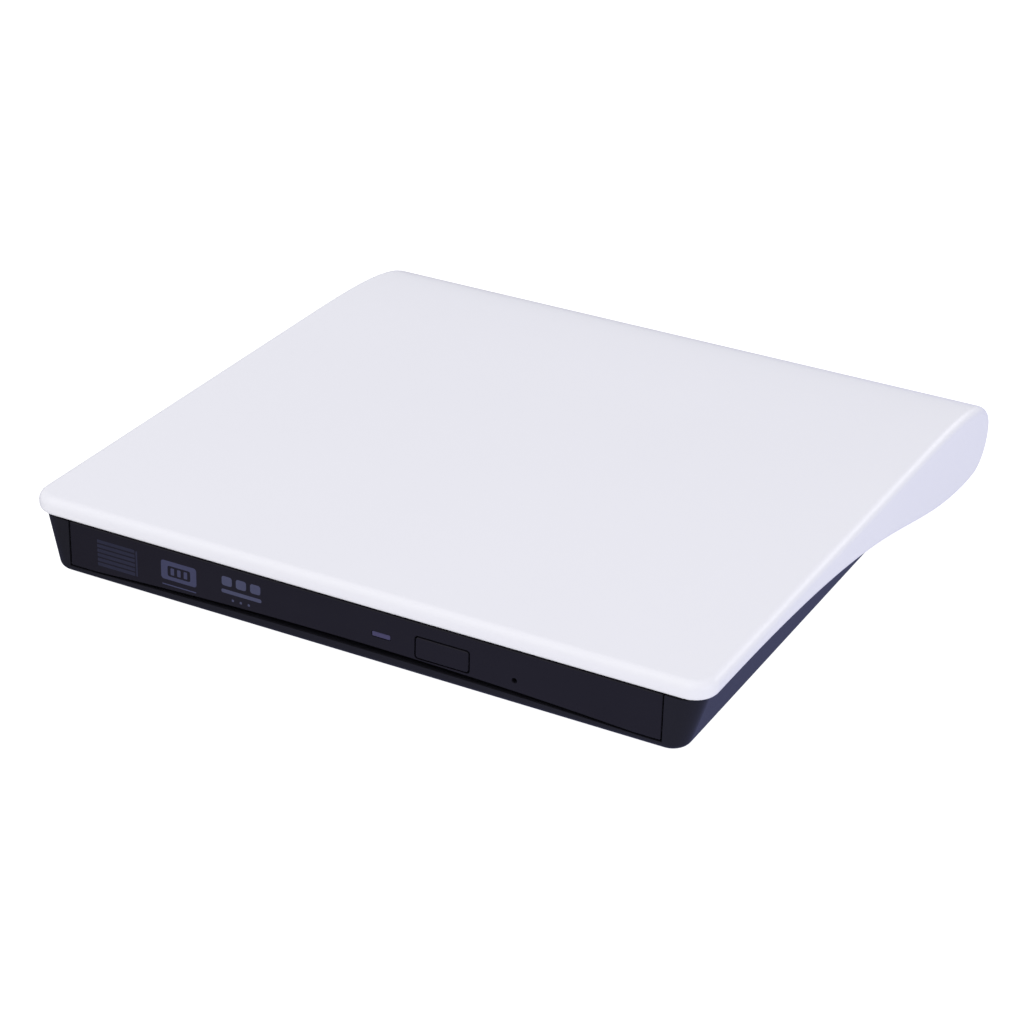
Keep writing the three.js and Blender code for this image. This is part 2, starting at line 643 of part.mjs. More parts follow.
function usbSocket() {
  const { x, y, z, width, height, depth, wall } = SOCKET;
  const [w, h] = [width / 2, height / 2];
  const shell = pushBack(roundedRectangle(x - w, x + w, z - h, z + h, 0.8), y - depth, y);
  const inside = roundedRectangle(x - w + wall, x + w - wall, z - h + wall, z + h - wall, 0.5);
  const tongue = block(x - 2.6, x + 2.6, y - depth + 2, y - 1, z - 0.4, z + 0.4);
  return join(cut(shell, pushBack(inside, y - 6.5, y + OVERLAP)), tongue);
}

function buildDriveCase() {
  addPart('drive_lower_case', lowerCase(), steel);
  addPart('drive_top_case', topCase(), steel);
  for (const [sideName, side] of SIDES) {
    addPart(`guide_rail_${sideName}`, guideRail(side), naturalPlastic);
    addPart(`slide_rail_${sideName}`, slideRail(side), steel);
  }
}

function buildElectronics() {
  addPart('main_board', mainBoard(), circuitBoard);
  const chipZ = MAIN_BOARD.topZ + 0.1;
  addPart('controller_chip', chip(-40, 98, 14, 14, chipZ, chipZ + 1.1), chipBlack);
  addPart('motor_driver_chip', chip(-22, 108, 9, 9, chipZ, chipZ + 1), chipBlack);
  addPart('drive_connector', sataConnector(), connectorPlastic);
  addPart('flex_cable', flexCable(), flexFilm);
  addPart('bridge_board', bridgeBoard(), circuitBoard);
  addPart('bridge_plug', bridgePlug(), connectorPlastic);
  const partZ = BOARD.topZ + 0.1;
  addPart('bridge_chip', chip(-4, 133, 8, 8, partZ, partZ + 1), chipBlack);
  const crystal = raise(roundedRectangle(6, 11, 131.5, 134.7, 1.5), partZ, partZ + 1.3, 3);
  addPart('bridge_crystal', crystal, steel);
  addPart('usb_socket', usbSocket(), steel);
}

// ---- tray -----------------------------------------------------------------------------

// A point of the traverse's own (u, v) plan in slab coordinates.
function fromTraverse(u, v) {
  const [c, s] = [Math.cos(TRAVERSE_ANGLE), Math.sin(TRAVERSE_ANGLE)];
  return [c * u - s * v, s * u + c * v + DISC.y];
}

function traverseRectangle(u0, u1, v0, v1) {
  const corners = [[u0, v0], [u1, v0], [u1, v1], [u0, v1]];
  return polygon(corners.map(([u, v]) => fromTraverse(u, v)));
}

function trayOutline(halfWidth, frontY) {
  const { rearY } = TRAY;
  const bevel = 8;
  return polygon([
    [-halfWidth, frontY], [halfWidth, frontY], [halfWidth, rearY - bevel],
    [halfWidth - bevel, rearY], [-halfWidth + bevel, rearY], [-halfWidth, rearY - bevel],
  ]);
}

// Side and front skirts under the deck; the left rear stays open over the main board.
function traySkirts() {
  const { halfWidth, wall, frontY, skirtBottomZ, deckBottomZ } = TRAY;
  const top = deckBottomZ + 0.2;
  const front = block(-halfWidth, halfWidth, frontY, frontY + wall, skirtBottomZ, top);
  const left = block(-halfWidth, -halfWidth + wall, frontY, 66, skirtBottomZ, top);
  const right = block(halfWidth - wall, halfWidth, frontY, 112, skirtBottomZ, top);
  const rib = block(-30, -29, frontY, 60, -12.2, top);
  return [front, left, right, rib];
}

function tray() {
  const { topZ, wingBottomZ, deckBottomZ, halfWidth, wingHalfWidth, frontY } = TRAY;
  const deck = raise(trayOutline(halfWidth, frontY), deckBottomZ, topZ);
  const wings = raise(trayOutline(wingHalfWidth, frontY), wingBottomZ, topZ);
  let body = join(deck, wings, ...traySkirts());
  const largeDisc = discAt(0, DISC.y, DISC.recessRadius, DISC.recessZ, FAR, 60);
  const smallDisc = discAt(0, DISC.y, DISC.smallRadius, DISC.smallZ, FAR, 40);
  const window = raise(traverseRectangle(8, 65.4, -14.8, 20.8), -FAR, DISC.smallZ + 0.9);
  const hubWindow = discAt(0, DISC.y, 17, -FAR, FAR);
  const boardPocket = block(0, 30, frontY - OVERLAP, 3.6, -12.4, -7.2);
  const pinPath = rodAlongY(PINHOLE.x, frontY - OVERLAP, 3, PINHOLE.z, PINHOLE.radius + 0.3);
  const hookWindow = block(59, 61.5, 1.9, 8.9, LATCH.bottomZ - 0.4, LATCH.topZ + 0.4);
  body = cut(body, largeDisc, smallDisc, window, hubWindow, boardPocket, pinPath, hookWindow);
  return body;
}

// The finger arch as a front outline (x, z), closed below the bezel.
function bezelArch() {
  const { halfWidth, height } = ARCH;
  const lowZ = DRIVE.bottomZ - OVERLAP;
  return polygon([[halfWidth, lowZ], [-halfWidth, lowZ], ...archPoints(DRIVE.bottomZ, height)]);
}

function frontBezel() {
  const { halfWidth, frontY, rearY, face, rim, lowerRim } = BEZEL;
  const outside = block(-halfWidth, halfWidth, frontY, rearY, DRIVE.bottomZ, DRIVE.topZ);
  const innerHalf = halfWidth - rim;
  const hollow = block(
    -innerHalf, innerHalf, frontY + face, FAR, DRIVE.bottomZ + lowerRim, DRIVE.topZ - rim,
  );
  const { x, z, width, height, corner } = BUTTON;
  const [w, h] = [width / 2 + GAP, height / 2 + GAP];
  const buttonHole = pushBack(roundedRectangle(x - w, x + w, z - h, z + h, corner), -FAR, 0);
  const [lw, lh] = [LED.width / 2 + 0.1, LED.height / 2 + 0.1];
  const ledHole = block(LED.x - lw, LED.x + lw, -FAR, 0, LED.z - lh, LED.z + lh);
  const pinhole = rodAlongY(PINHOLE.x, -FAR, 0, PINHOLE.z, PINHOLE.radius);
  return cut(outside, hollow, buttonHole, ledHole, pinhole, pushBack(bezelArch(), -FAR, 0));
}

function ejectButton() {
  const { x, z, width, height, corner } = BUTTON;
  const [w, h] = [width / 2, height / 2];
  const outline = roundedRectangle(x - w, x + w, z - h, z + h, corner - 0.2);
  const cap = pushBack(outline, BEZEL.frontY - 0.1, -1.2);
  const stem = block(x - 1.2, x + 1.2, -1.4, 0.25, z - 1.2, z + 1.2);
  return join(cap, stem);
}

function lightPipe() {
  const { x, z, width, height } = LED;
  const [w, h] = [width / 2, height / 2];
  const outline = roundedRectangle(x - w, x + w, z - h, z + h, 0.25);
  const window = pushBack(outline, BEZEL.frontY + 0.1, -1.2);
  const guide = block(x - 1.2, x + 1.2, -1.4, 1, z - h, z + h);
  return join(window, guide);
}

function kickOutPin() {
  const barrel = rodAlongY(-56.5, 100, 108, -10.4, 1.2);
  return join(barrel, rodAlongY(-56.5, 107, 119, -10.4, 0.7, 12));
}

// A coil in a steel yoke, with its plunger standing out towards the middle.
function latchSolenoid() {
  const { x0, x1, y, z, radius } = SOLENOID;
  const coil = rodAlongX(x0, x1, y, z, radius, 16);
  const outside = block(x0 - 0.6, x1 + 0.6, y - 1.4, y + 1.4, z - 1.4, z + 1.4);
  const inside = block(x0 + 0.2, x1 - 0.2, y - 3, y + 3, z - 1, z + 1);
  return join(cut(outside, inside), coil, rodAlongX(x0 - 1.6, x0, y, z, 0.5, 10));
}

function trayBottomPlate() {
  const outline = polygon([
    [-24, 58], [2, 26], [34, 4], [58, 4], [58, 46], [24, 84], [0, 84],
  ]);
  const plate = raise(outline, -13, -12.75);
  const holes = [[38, 34], [46, 24], [30, 46]].map(([x, y]) => discAt(x, y, 3, -FAR, 0, 20));
  return cut(plate, ...holes);
}

function buildTray() {
  addPart('tray', tray(), trayPlastic);
  addPart('front_bezel', frontBezel(), blackGloss);
  addPart('eject_button', ejectButton(), blackGloss);
  addPart('led_light_pipe', lightPipe(), lilacLens);
  addPart('button_board', block(2, 28, 2.5, 3.2, -12.2, -7.5), circuitBoard);
  addPart('tact_switch', join(
    block(BUTTON.x - 1.8, BUTTON.x + 1.8, 1.4, 2.4, BUTTON.z - 1.8, BUTTON.z + 1.8),
    rodAlongY(BUTTON.x, 0.95, 1.6, BUTTON.z, 0.8, 12),
  ), darkSteel);
  addPart('status_led', block(LED.x - 0.8, LED.x + 0.8, 1.4, 2.4, LED.z - 0.4, LED.z + 0.4), lensGlass);
  addPart('kick_out_pin', kickOutPin(), steel);
  addPart('latch_solenoid', latchSolenoid(), darkSteel);
  addPart('tray_bottom_plate', trayBottomPlate(), steel);
}

// The latch stands open at rest. Turned anticlockwise, its hook enters the guide's notch.
function latchLever() {
  const { topZ, bottomZ } = LATCH;
  const hub = discAt(0, 0, 1.8, bottomZ, topZ, 16);
  const releaseArm = polygon([[1, 1.2], [-21.8, -11], [-21, -12.5], [1.2, -1.2]]);
  const hookArm = polygon([
    [-1, -1], [1.6, -12.6], [1.6, -14.8], [4.6, -14.6], [4.4, -13.4], [3, -12.4], [1.4, 0.4],
  ]);
  const lever = join(hub, raise(releaseArm, bottomZ, topZ), raise(hookArm, bottomZ, topZ));
  return cut(lever, discAt(0, 0, 0.8, -FAR, FAR, 16));
}

function latchPivot() {
  return discAt(0, 0, 0.5, LATCH.bottomZ - 1.2, TRAY.deckBottomZ - 0.1, 12);
}

function buildLatch() {
  const latch = new THREE.Group();
  latch.position.set(LATCH.x, LATCH.y, 0);
  slab.add(latch);
  addPart('latch_lever', latchLever(), naturalPlastic, latch);
  addPart('latch_pivot', latchPivot(), steel, latch);
}

// ---- traverse: spindle, pickup and lead screw, in (u, v) coordinates ----------------------

function traverseChassis() {
  const { u0, u1, v0, v1, topZ, bottomZ } = FRAME;
  const plate = raise(roundedRectangle(u0, u1, v0, v1, 3), bottomZ, topZ);
  const window = raise(roundedRectangle(14.8, 62.6, -14, 18.8, 1), -FAR, FAR);
  const motorSeat = discAt(0, 0, 11.6, -FAR, FAR);
  const motorEnd = block(-4.4, 10, 15, 19, -FAR, FAR);
  const grommets = DAMPERS.map(([u, v]) => discAt(u, v, 1.3, -FAR, FAR, 12));
  return cut(plate, window, motorSeat, motorEnd, ...grommets);
}

function chassisCover() {
  const plate = raise(roundedRectangle(8.3, 65, -14.4, 20.4, 2), -8.9, -8.6);
  const lensWindow = raise(roundedRectangle(18, 62.6, -7, 7, 3), -FAR, FAR);
  const hubWindow = discAt(0, 0, 17, -FAR, FAR);
  const ribs = [30, 45].map((u) => block(u, u + 1, 9, 18, -8.7, FAR));
  return cut(plate, lensWindow, hubWindow, ...ribs);
}

function spindleMotor() {
  const plate = raise(roundedRectangle(-11, 11, -11, 11, 10.9), -12.6, -12.2, 3);
  const stator = discAt(0, 0, 9, -12.4, -9.8);
  const slots = [];
  const slotCount = 9;
  for (let i = 0; i < slotCount; i += 1) {
    const slot = new THREE.BoxGeometry(4.5, 0.9, 2.2).translate(8, 0, -10.6);
    slots.push(toSolid(slot.rotateZ((i / slotCount) * 2 * Math.PI)));
  }
  return cut(join(plate, stator), ...slots, discAt(0, 0, 1.5, -12.1, FAR, 16));
}

// Rotor cup, disc table and centring hub in one turned piece, with three claw slots.
function turntable() {
  const profile = [
    [0, -12], [1, -12], [1, -9.3], [9.6, -9.3], [9.6, -11.4], [10.4, -11.4], [10.4, -8.7],
    [HUB.tableRadius, -8.3], [HUB.tableRadius, HUB.tableZ], [HUB.hubRadius, HUB.tableZ],
    [HUB.hubRadius, -5.8], [6.5, HUB.hubTopZ], [0, HUB.hubTopZ],
  ].map(([radius, z]) => new THREE.Vector2(radius, z));
  const turned = toSolid(new THREE.LatheGeometry(profile, 32).rotateX(Math.PI / 2));
  const slots = CLAW_ANGLES.map((angle) => toSolid(
    new THREE.BoxGeometry(4.6, 3, 1.6).translate(5.8, 0, -6.5).rotateZ(angle),
  ));
  return cut(turned, ...slots);
}

// A spring claw that grips the disc's centre hole; its nose stands 0.4 mm proud of the hub.
function clampClaw(angle) {
  const body = new THREE.BoxGeometry(2.2, 2.4, 1).translate(5.7, 0, -6.5).rotateZ(angle);
  const nose = new THREE.CylinderGeometry(0.5, 0.5, 2.4, 12).translate(7.2, 0, -6.5).rotateZ(angle);
  return join(toSolid(body), toSolid(nose));
}

function pickupSled() {
  const { u, halfLength, v0, v1, topZ, bottomZ } = PICKUP;
  const body = raise(roundedRectangle(u - halfLength, u + halfLength, v0, v1, 1), bottomZ, topZ);
  const rods = RODS.map((v) => rodAlongX(-FAR, FAR * 2, v, ROD.z, ROD.radius + 0.1));
  const lensWell = block(LENS.u - 4.6, LENS.u + 4.6, -7.6, 7.6, -10.9, FAR);
  const laserWell = rodAlongX(u - halfLength - OVERLAP, u - 4, -9, -10.6, 0.6, 8);
  const underCut = block(u - 5, u + 5, -9, 9, -FAR, -11.8);
  return cut(body, ...rods, lensWell, laserWell, underCut);
}

function rackNut() {
  const { u, v1 } = PICKUP;
  const foot = block(u - 4, u + 4, v1 + 0.1, SCREW.v - SCREW.radius - GAP, -11.9, -9.8);
  const tooth = block(u - 1, u + 1, v1 + 1, SCREW.v + 0.4, SCREW.z + SCREW.radius + 0.15, -9.55);
  return join(foot, tooth);
}

function lensHolder() {
  const { u } = LENS;
  const frame = raise(roundedRectangle(u - 3.6, u + 3.6, -6.6, 6.6, 0.8), -10.4, -9.45);
  return cut(frame, discAt(u, 0, LENS.radius + 0.15, -FAR, FAR));
}

function objectiveLens() {
  const profile = new THREE.Path();
  profile.moveTo(0, -10.2);
  profile.lineTo(LENS.radius, -10.2);
  profile.lineTo(LENS.radius, -9.9);
  profile.quadraticCurveTo(1.2, -9.3, 0, LENS.z);
  const geometry = new THREE.LatheGeometry(profile.getPoints(3), 16);
  return toSolid(geometry.rotateX(Math.PI / 2).translate(LENS.u, 0, 0));
}

function guideRod(v) {
  return rodAlongX(ROD.u0, ROD.u1, v, ROD.z, ROD.radius);
}

// The threaded stretch at its outer diameter, with a thinner journal at each end.
function leadScrew() {
  const { v, z, radius, u0, u1 } = SCREW;
  const journal = 3;
  const core = rodAlongX(u0, u1, v, z, radius * 0.7);
  return join(core, rodAlongX(u0 + journal, u1 - journal, v, z, radius));
}

function sledMotor() {
  const can = rodAlongX(-3.6, 8.6, SCREW.v, SCREW.z, 1.65, 16);
  const flat = block(-3.6, 8.6, SCREW.v - 1.65, SCREW.v + 1.65, -FAR, SCREW.z - 1.5);
  return cut(can, flat, rodAlongX(8, 10, SCREW.v, SCREW.z, 0.5, 10));
}

function damper(u, v) {
  const ring = join(discAt(u, v, 1.9, -12, -11.2, 16), discAt(u, v, 1, -12.7, -11.5, 12));
  return cut(ring, discAt(u, v, 0.5, -FAR, FAR, 8));
}

function buildTraverse() {
  addPart('traverse_chassis', traverseChassis(), steel, traverse);
  addPart('chassis_cover', chassisCover(), darkSteel, traverse);
  addPart('spindle_motor', spindleMotor(), darkSteel, traverse);
  addPart('turntable', turntable(), trayPlastic, traverse);
  CLAW_ANGLES.forEach((angle, i) => {
    addPart(`clamp_claw_${i + 1}`, clampClaw(angle), naturalPlastic, traverse);
  });
  addPart('pickup_sled', pickupSled(), darkSteel, traverse);
  addPart('rack_nut', rackNut(), naturalPlastic, traverse);
  addPart('lens_holder', lensHolder(), chipBlack, traverse);
  addPart('objective_lens', objectiveLens(), lensGlass, traverse);
  addPart('guide_rod_left', guideRod(RODS[0]), steel, traverse);
  addPart('guide_rod_right', guideRod(RODS[1]), steel, traverse);
  addPart('lead_screw', leadScrew(), brass, traverse);
  addPart('sled_motor', sledMotor(), steel, traverse);
  DAMPERS.forEach(([u, v], i) => addPart(`damper_${i + 1}`, damper(u, v), rubber, traverse));
}

buildHousing();
buildDriveCase();
buildElectronics();
buildTray();
buildLatch();
buildTraverse();

export default drive;
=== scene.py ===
"""Looks of a slim external optical drive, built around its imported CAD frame.

The housing is built in "slab" coordinates, in millimetres: x to the right, y from the front to
the rear and z up from the flat top. SLAB turns them into the frame's own metres.
"""
import json
import math

import bmesh
import bpy
from mathutils import Matrix, Vector


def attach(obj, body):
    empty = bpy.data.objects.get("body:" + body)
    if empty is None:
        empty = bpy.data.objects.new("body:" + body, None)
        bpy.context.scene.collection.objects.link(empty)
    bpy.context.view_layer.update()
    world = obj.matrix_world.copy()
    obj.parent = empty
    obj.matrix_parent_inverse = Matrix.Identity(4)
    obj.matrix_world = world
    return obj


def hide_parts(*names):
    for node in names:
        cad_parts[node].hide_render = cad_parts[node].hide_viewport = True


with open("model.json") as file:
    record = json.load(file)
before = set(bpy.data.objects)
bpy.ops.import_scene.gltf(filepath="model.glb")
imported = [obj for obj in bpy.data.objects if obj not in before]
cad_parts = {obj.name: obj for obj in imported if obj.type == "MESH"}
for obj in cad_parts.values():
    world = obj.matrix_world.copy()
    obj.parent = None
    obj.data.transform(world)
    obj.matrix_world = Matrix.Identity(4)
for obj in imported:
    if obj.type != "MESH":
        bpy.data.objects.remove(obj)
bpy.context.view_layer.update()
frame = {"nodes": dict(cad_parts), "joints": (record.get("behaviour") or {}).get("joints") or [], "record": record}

# ---- camera, at the photograph's viewing angle --------------------------------------------

CAMERA_TARGET = Vector((0.0218, -0.0518, 0.0289))
CAMERA_AZIMUTH = 27.107
CAMERA_ELEVATION = 26.513
CAMERA_ROLL = 2.204
CAMERA_DISTANCE = 0.535
CAMERA_LENS = 101.1
CAMERA_SENSOR = 36.0


def make_camera():
    azimuth, elevation = math.radians(CAMERA_AZIMUTH), math.radians(CAMERA_ELEVATION)
    back = Vector((
        math.sin(azimuth) * math.cos(elevation),
        -math.cos(azimuth) * math.cos(elevation),
        math.sin(elevation),
    ))
    data = bpy.data.cameras.new("camera")
    data.lens = CAMERA_LENS
    data.sensor_width = CAMERA_SENSOR
    camera = bpy.data.objects.new("camera", data)
    bpy.context.scene.collection.objects.link(camera)
    roll = Matrix.Rotation(math.radians(CAMERA_ROLL), 4, "Z")
    turn = (-back).to_track_quat("-Z", "Y").to_matrix().to_4x4()
    camera.matrix_world = Matrix.Translation(CAMERA_TARGET + back * CAMERA_DISTANCE) @ turn @ roll
    bpy.context.scene.camera = camera


make_camera()

# ---- the slab's frame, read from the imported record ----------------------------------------

joints = {joint["name"]: joint for joint in frame["joints"]}
mounts = {mount["name"]: mount for mount in frame["record"]["mounts"]}

MM = 0.001
TOP_FACE_Y = 50.0
BACK = -Vector(joints["tray_slide"]["axis"]).normalized()
UP = Vector(mounts["top_face"]["axis"]).normalized()
RIGHT = BACK.cross(UP).normalized()
SLAB_ORIGIN = Vector(mounts["top_face"]["pos_m"]) - BACK * TOP_FACE_Y * MM
SLAB_AXES = Matrix((RIGHT, BACK, UP)).transposed().to_4x4()
SLAB = Matrix.Translation(SLAB_ORIGIN) @ SLAB_AXES @ Matrix.Scale(MM, 4)

# ---- driving dimensions, in slab millimetres ----------------------------------------------

GAP = 0.3
FAR = 60.0
HALF_WIDTH = 73.0
FRONT_Y = -4.5
LIP = 4.0
EDGE, LOWER_RIM = 1.85, 0.76
CORNER_RADIUS = 5.0
ROOF = 2.2
SIDE_WALL = 1.5
TAIL_START_Y = 100.0
TAIL_PULL_Y = 125.0
TAIL_Y, TAIL_Z, TAIL_RADIUS, TAIL_WALL = 134.2, -10.0, 9.0, 2.2
TAIL_SHOULDER_Z = -1.0
BELLY_FRONT_Y, BELLY_Z = 108.5, -19.1
HOLLOW_FRONT_Z, HOLLOW_PULL = -14.3, 9.0
SWEEP_START_Y, SWEEP_PULL_Y, SWEEP_END_Y = 5.0, 90.0, 97.0

BASE_FRONT_Y, BASE_REAR_Y = -3.7, 108.2
BASE_TOP_Z, BASE_BOTTOM_Z, BASE_FLOOR_Z = -4.3, -15.56, -14.1
BASE_TOP_HALF = 71.4
BASE_SLOPE = 0.285
BASE_EDGE = 1.3
BASE_CORNER, BASE_CORNER_TAPER = 4.5, 0.08
BASE_WALL = 1.5
BASE_FRONT_INSIDE_Y = -0.6
VENT_COUNT, VENT_START_Y, VENT_PITCH, VENT_WIDTH, VENT_HALF_LENGTH = 7, 84, 2.6, 1.1, 14

BEZEL_HALF, BEZEL_FRONT_Y, BEZEL_REAR_Y = 64.0, -3.7, -0.3
BEZEL_FACE, BEZEL_RIM, BEZEL_LOWER_RIM = 1.6, 1.4, 2.5
ARCH_HALF, ARCH_HEIGHT, LIP_ARCH_HEIGHT = 60.0, 1.8, 0.8
DRIVE_TOP_Z, DRIVE_BOTTOM_Z = -4.3, -13.8
BUTTON_X, BUTTON_Z, BUTTON_WIDTH, BUTTON_HEIGHT = 19.3, -9.45, 11.1, 4.3
LED_X, LED_Z, LED_WIDTH, LED_HEIGHT = 6.3, -9.25, 3.9, 1.0
LED_GAP = 0.1
CAP_REAR_Y, STEM_HALF = -1.2, 1.2
PINHOLE_X, PINHOLE_Z, PINHOLE_RADIUS = 34.4, -10.4, 0.55

SCREW_X, SCREW_YS = 65.5, (16.0, 98.0)
SCREW_HEAD_RADIUS, SCREW_HEAD_HEIGHT, SCREW_SHANK_RADIUS, SCREW_END_Z = 1.4, 0.6, 0.4, -9
SCREW_CROSS_HALF, SCREW_CROSS_WIDTH, SCREW_CROSS_DEPTH = 0.8, 0.32, 0.35
BOSS_RADIUS, SCREW_HOLE_RADIUS, SCREW_SINK_RADIUS, SCREW_SINK = 1.3, 1.0, 1.7, 0.8
FRONT_FOOT_X, FRONT_FOOT_Y, FRONT_FOOT_RADIUS, FRONT_FOOT_POCKET = 58.0, 9.0, 4.0, 0.6
REAR_FOOT_X, REAR_FOOT_Y, REAR_FOOT_LENGTH, REAR_FOOT_WIDTH = 52.0, 131.0, 16.0, 5.0
REAR_FOOT_POCKET = 0.9
SOCKET_X, SOCKET_Y, SOCKET_Z, SOCKET_WIDTH, SOCKET_HEIGHT = 20.0, 141.0, -10.0, 7.9, 4.0
SOCKET_LENGTH, SOCKET_SHEET, SOCKET_DEPTH = 9.0, 0.4, 6.5
RECESS_HALF_WIDTH, RECESS_HALF_HEIGHT = 6.5, 4.2
COLLAR_HALF_WIDTH, COLLAR_HALF_HEIGHT, COLLAR_Y = 8.4, 6.3, 139.4
TONGUE_HALF_WIDTH, TONGUE_HALF_HEIGHT = 2.6, 0.4
CONTACT_COUNT, CONTACT_PITCH, CONTACT_WIDTH = 5, 0.8, 0.4

TRAY_HALF, TRAY_WING_HALF, TRAY_FRONT_Y, TRAY_REAR_Y = 60.8, 62.6, 0.6, 120.0
TRAY_TOP_Z, TRAY_WING_Z, TRAY_DECK_Z, TRAY_SKIRT_Z = -6.0, -8.3, -9.0, -12.5
TRAY_WALL, TRAY_REAR_CUT, TRAY_LEFT_WALL_REAR, TRAY_RIGHT_WALL_REAR = 0.8, 8, 66, 112
DISC_Y, DISC_RADIUS, DISC_Z, SMALL_DISC_RADIUS, SMALL_DISC_Z = 62.0, 60.6, -8.2, 40.5, -8.5
TRAY_RIB_X, TRAY_RIB_REAR = -30, 60
HUB_OPENING_RADIUS = 17
TABLE_RADIUS, TABLE_Z, HUB_RADIUS, HUB_TOP_Z = 13.0, -7.4, 7.3, -5.2
CLAW_ANGLES = [math.radians(90 + 120 * i) for i in range(3)]
LENS_U, LENS_RADIUS = 24.0, 2.0
LEAD_SCREW_V, LEAD_SCREW_Z, LEAD_SCREW_RADIUS, LEAD_SCREW_U0, LEAD_SCREW_U1 = 17.4, -10.9, 0.9, 9.2, 64.0
LEAD_SCREW_PITCH = 3.0

# The pickup's traverse lies diagonally under the disc's centre, with its own plan (u, v).
TRAVERSE = SLAB @ Matrix.Translation((0, DISC_Y, 0)) @ Matrix.Rotation(math.radians(-45), 4, "Z")


# ---- materials ----------------------------------------------------------------------------


def surface(name, color, roughness, *, metallic=0.0, specular=0.5, grain=0.0, grain_size=0.25,
            variation=0.04, patch=12.0, rough_spread=0.06, coat=0.0, ior=1.5, brushed=False):
    """A principled material with a fine moulded or brushed grain and slow changes of tone."""
    material = bpy.data.materials.new(name)
    material.use_nodes = True
    nodes, links = material.node_tree.nodes, material.node_tree.links
    shader = nodes["Principled BSDF"]
    shader.inputs["Metallic"].default_value = metallic
    shader.inputs["Specular IOR Level"].default_value = specular
    shader.inputs["IOR"].default_value = ior
    shader.inputs["Coat Weight"].default_value = coat
    place = nodes.new("ShaderNodeTexCoord")
    stretch = nodes.new("ShaderNodeMapping")
    stretch.inputs["Scale"].default_value = (1, 0.04, 1) if brushed else (1, 1, 1)
    links.new(place.outputs["Object"], stretch.inputs["Vector"])

    def noise(size_mm, detail):
        texture = nodes.new("ShaderNodeTexNoise")
        texture.inputs["Scale"].default_value = 1 / (size_mm * MM)
        texture.inputs["Detail"].default_value = detail
        links.new(stretch.outputs["Vector"], texture.inputs["Vector"])
        return texture.outputs["Fac"]

    slow, fine = noise(patch, 3), noise(grain_size, 2)
    tone = nodes.new("ShaderNodeMix")
    tone.data_type = "RGBA"
    tone.inputs["A"].default_value = (*[c * (1 - variation) for c in color], 1)
    tone.inputs["B"].default_value = (*[min(1, c * (1 + variation)) for c in color], 1)
    links.new(slow, tone.inputs["Factor"])
    links.new(tone.outputs["Result"], shader.inputs["Base Color"])
    spread = nodes.new("ShaderNodeMapRange")
    spread.inputs["To Min"].default_value = max(0.02, roughness - rough_spread)
    spread.inputs["To Max"].default_value = min(1, roughness + rough_spread)
    links.new(fine, spread.inputs["Value"])
    links.new(spread.outputs["Result"], shader.inputs["Roughness"])
    if grain:
        bump = nodes.new("ShaderNodeBump")
        bump.inputs["Strength"].default_value = grain
        bump.inputs["Distance"].default_value = 0.02 * MM
        links.new(fine, bump.inputs["Height"])
        links.new(bump.outputs["Normal"], shader.inputs["Normal"])
    return material


MATERIALS = {
    "white_cover": surface("white_satin", (0.7, 0.695, 0.73), 0.34, grain=0.2, variation=0.01, patch=40),
    "black_shell": surface(
        "black_satin", (0.0102, 0.0097, 0.0135), 0.42, ior=1.24, grain=0.3, variation=0.1,
    ),
    "gloss_black": surface(
        "black_gloss", (0.0112, 0.0102, 0.0150), 0.22, ior=1.2, grain=0.05, variation=0.1,
    ),
    "tray_plastic": surface("tray_black", (0.02, 0.021, 0.024), 0.5, grain=0.4, variation=0.12),
    "rubber": surface("black_rubber", (0.016, 0.016, 0.017), 0.85, specular=0.3, grain=0.6, variation=0.2),
    "case_steel": surface("sheet_steel", (0.55, 0.56, 0.58), 0.36, metallic=1, grain=0.3, brushed=True),
    "dark_steel": surface("coated_steel", (0.09, 0.093, 0.1), 0.4, metallic=0.7, grain=0.3),
    "rod_steel": surface("polished_rod", (0.7, 0.71, 0.73), 0.14, metallic=1, grain=0.05),
    "screw_brass": surface("machined_brass", (0.6, 0.45, 0.18), 0.28, metallic=1, grain=0.1),
    "circuit_board": surface("solder_mask", (0.012, 0.13, 0.055), 0.35, grain=0.3, variation=0.2, patch=3),
    "chip_black": surface("moulded_epoxy", (0.02, 0.02, 0.022), 0.6, grain=0.5, variation=0.15),
    "connector_plastic": surface("connector_black", (0.03, 0.03, 0.032), 0.5, grain=0.3),
    "natural_plastic": surface("natural_acetal", (0.66, 0.63, 0.55), 0.42, grain=0.2),
    "flex_film": surface("amber_film", (0.45, 0.19, 0.04), 0.25, coat=0.3, variation=0.1, patch=2),
    "indicator_lens": surface("lilac_lens", (0.05, 0.045, 0.1), 0.3, ior=1.3, grain=0.05, variation=0.05),
    "optics": surface("coated_lens", (0.25, 0.32, 0.6), 0.06, specular=0.8, coat=0.5),
    "sled_metal": surface("cast_metal", (0.33, 0.34, 0.36), 0.45, metallic=0.9, grain=0.5),
}


def print_ink(name, color, variation=0.1):
    return surface(name, color, 0.5, ior=1.25, grain=0.3, variation=variation, patch=2)


PRINTED_DIM = print_ink("print_dim", (0.017, 0.0175, 0.036), 0.15)
PRINTED_MID = print_ink("print_mid", (0.04, 0.042, 0.088))
PRINTED_LIGHT = print_ink("print_light", (0.049, 0.052, 0.098))
GOLD = surface("gold_plate", (0.75, 0.52, 0.2), 0.25, metallic=1, grain=0.05)


# ---- mesh tools, in slab millimetres --------------------------------------------------------


def to_object(name, bm):
    bmesh.ops.recalc_face_normals(bm, faces=bm.faces)
    mesh = bpy.data.meshes.new(name)
    bm.to_mesh(mesh)
    bm.free()
    obj = bpy.data.objects.new(name, mesh)
    bpy.context.scene.collection.objects.link(obj)
    return obj


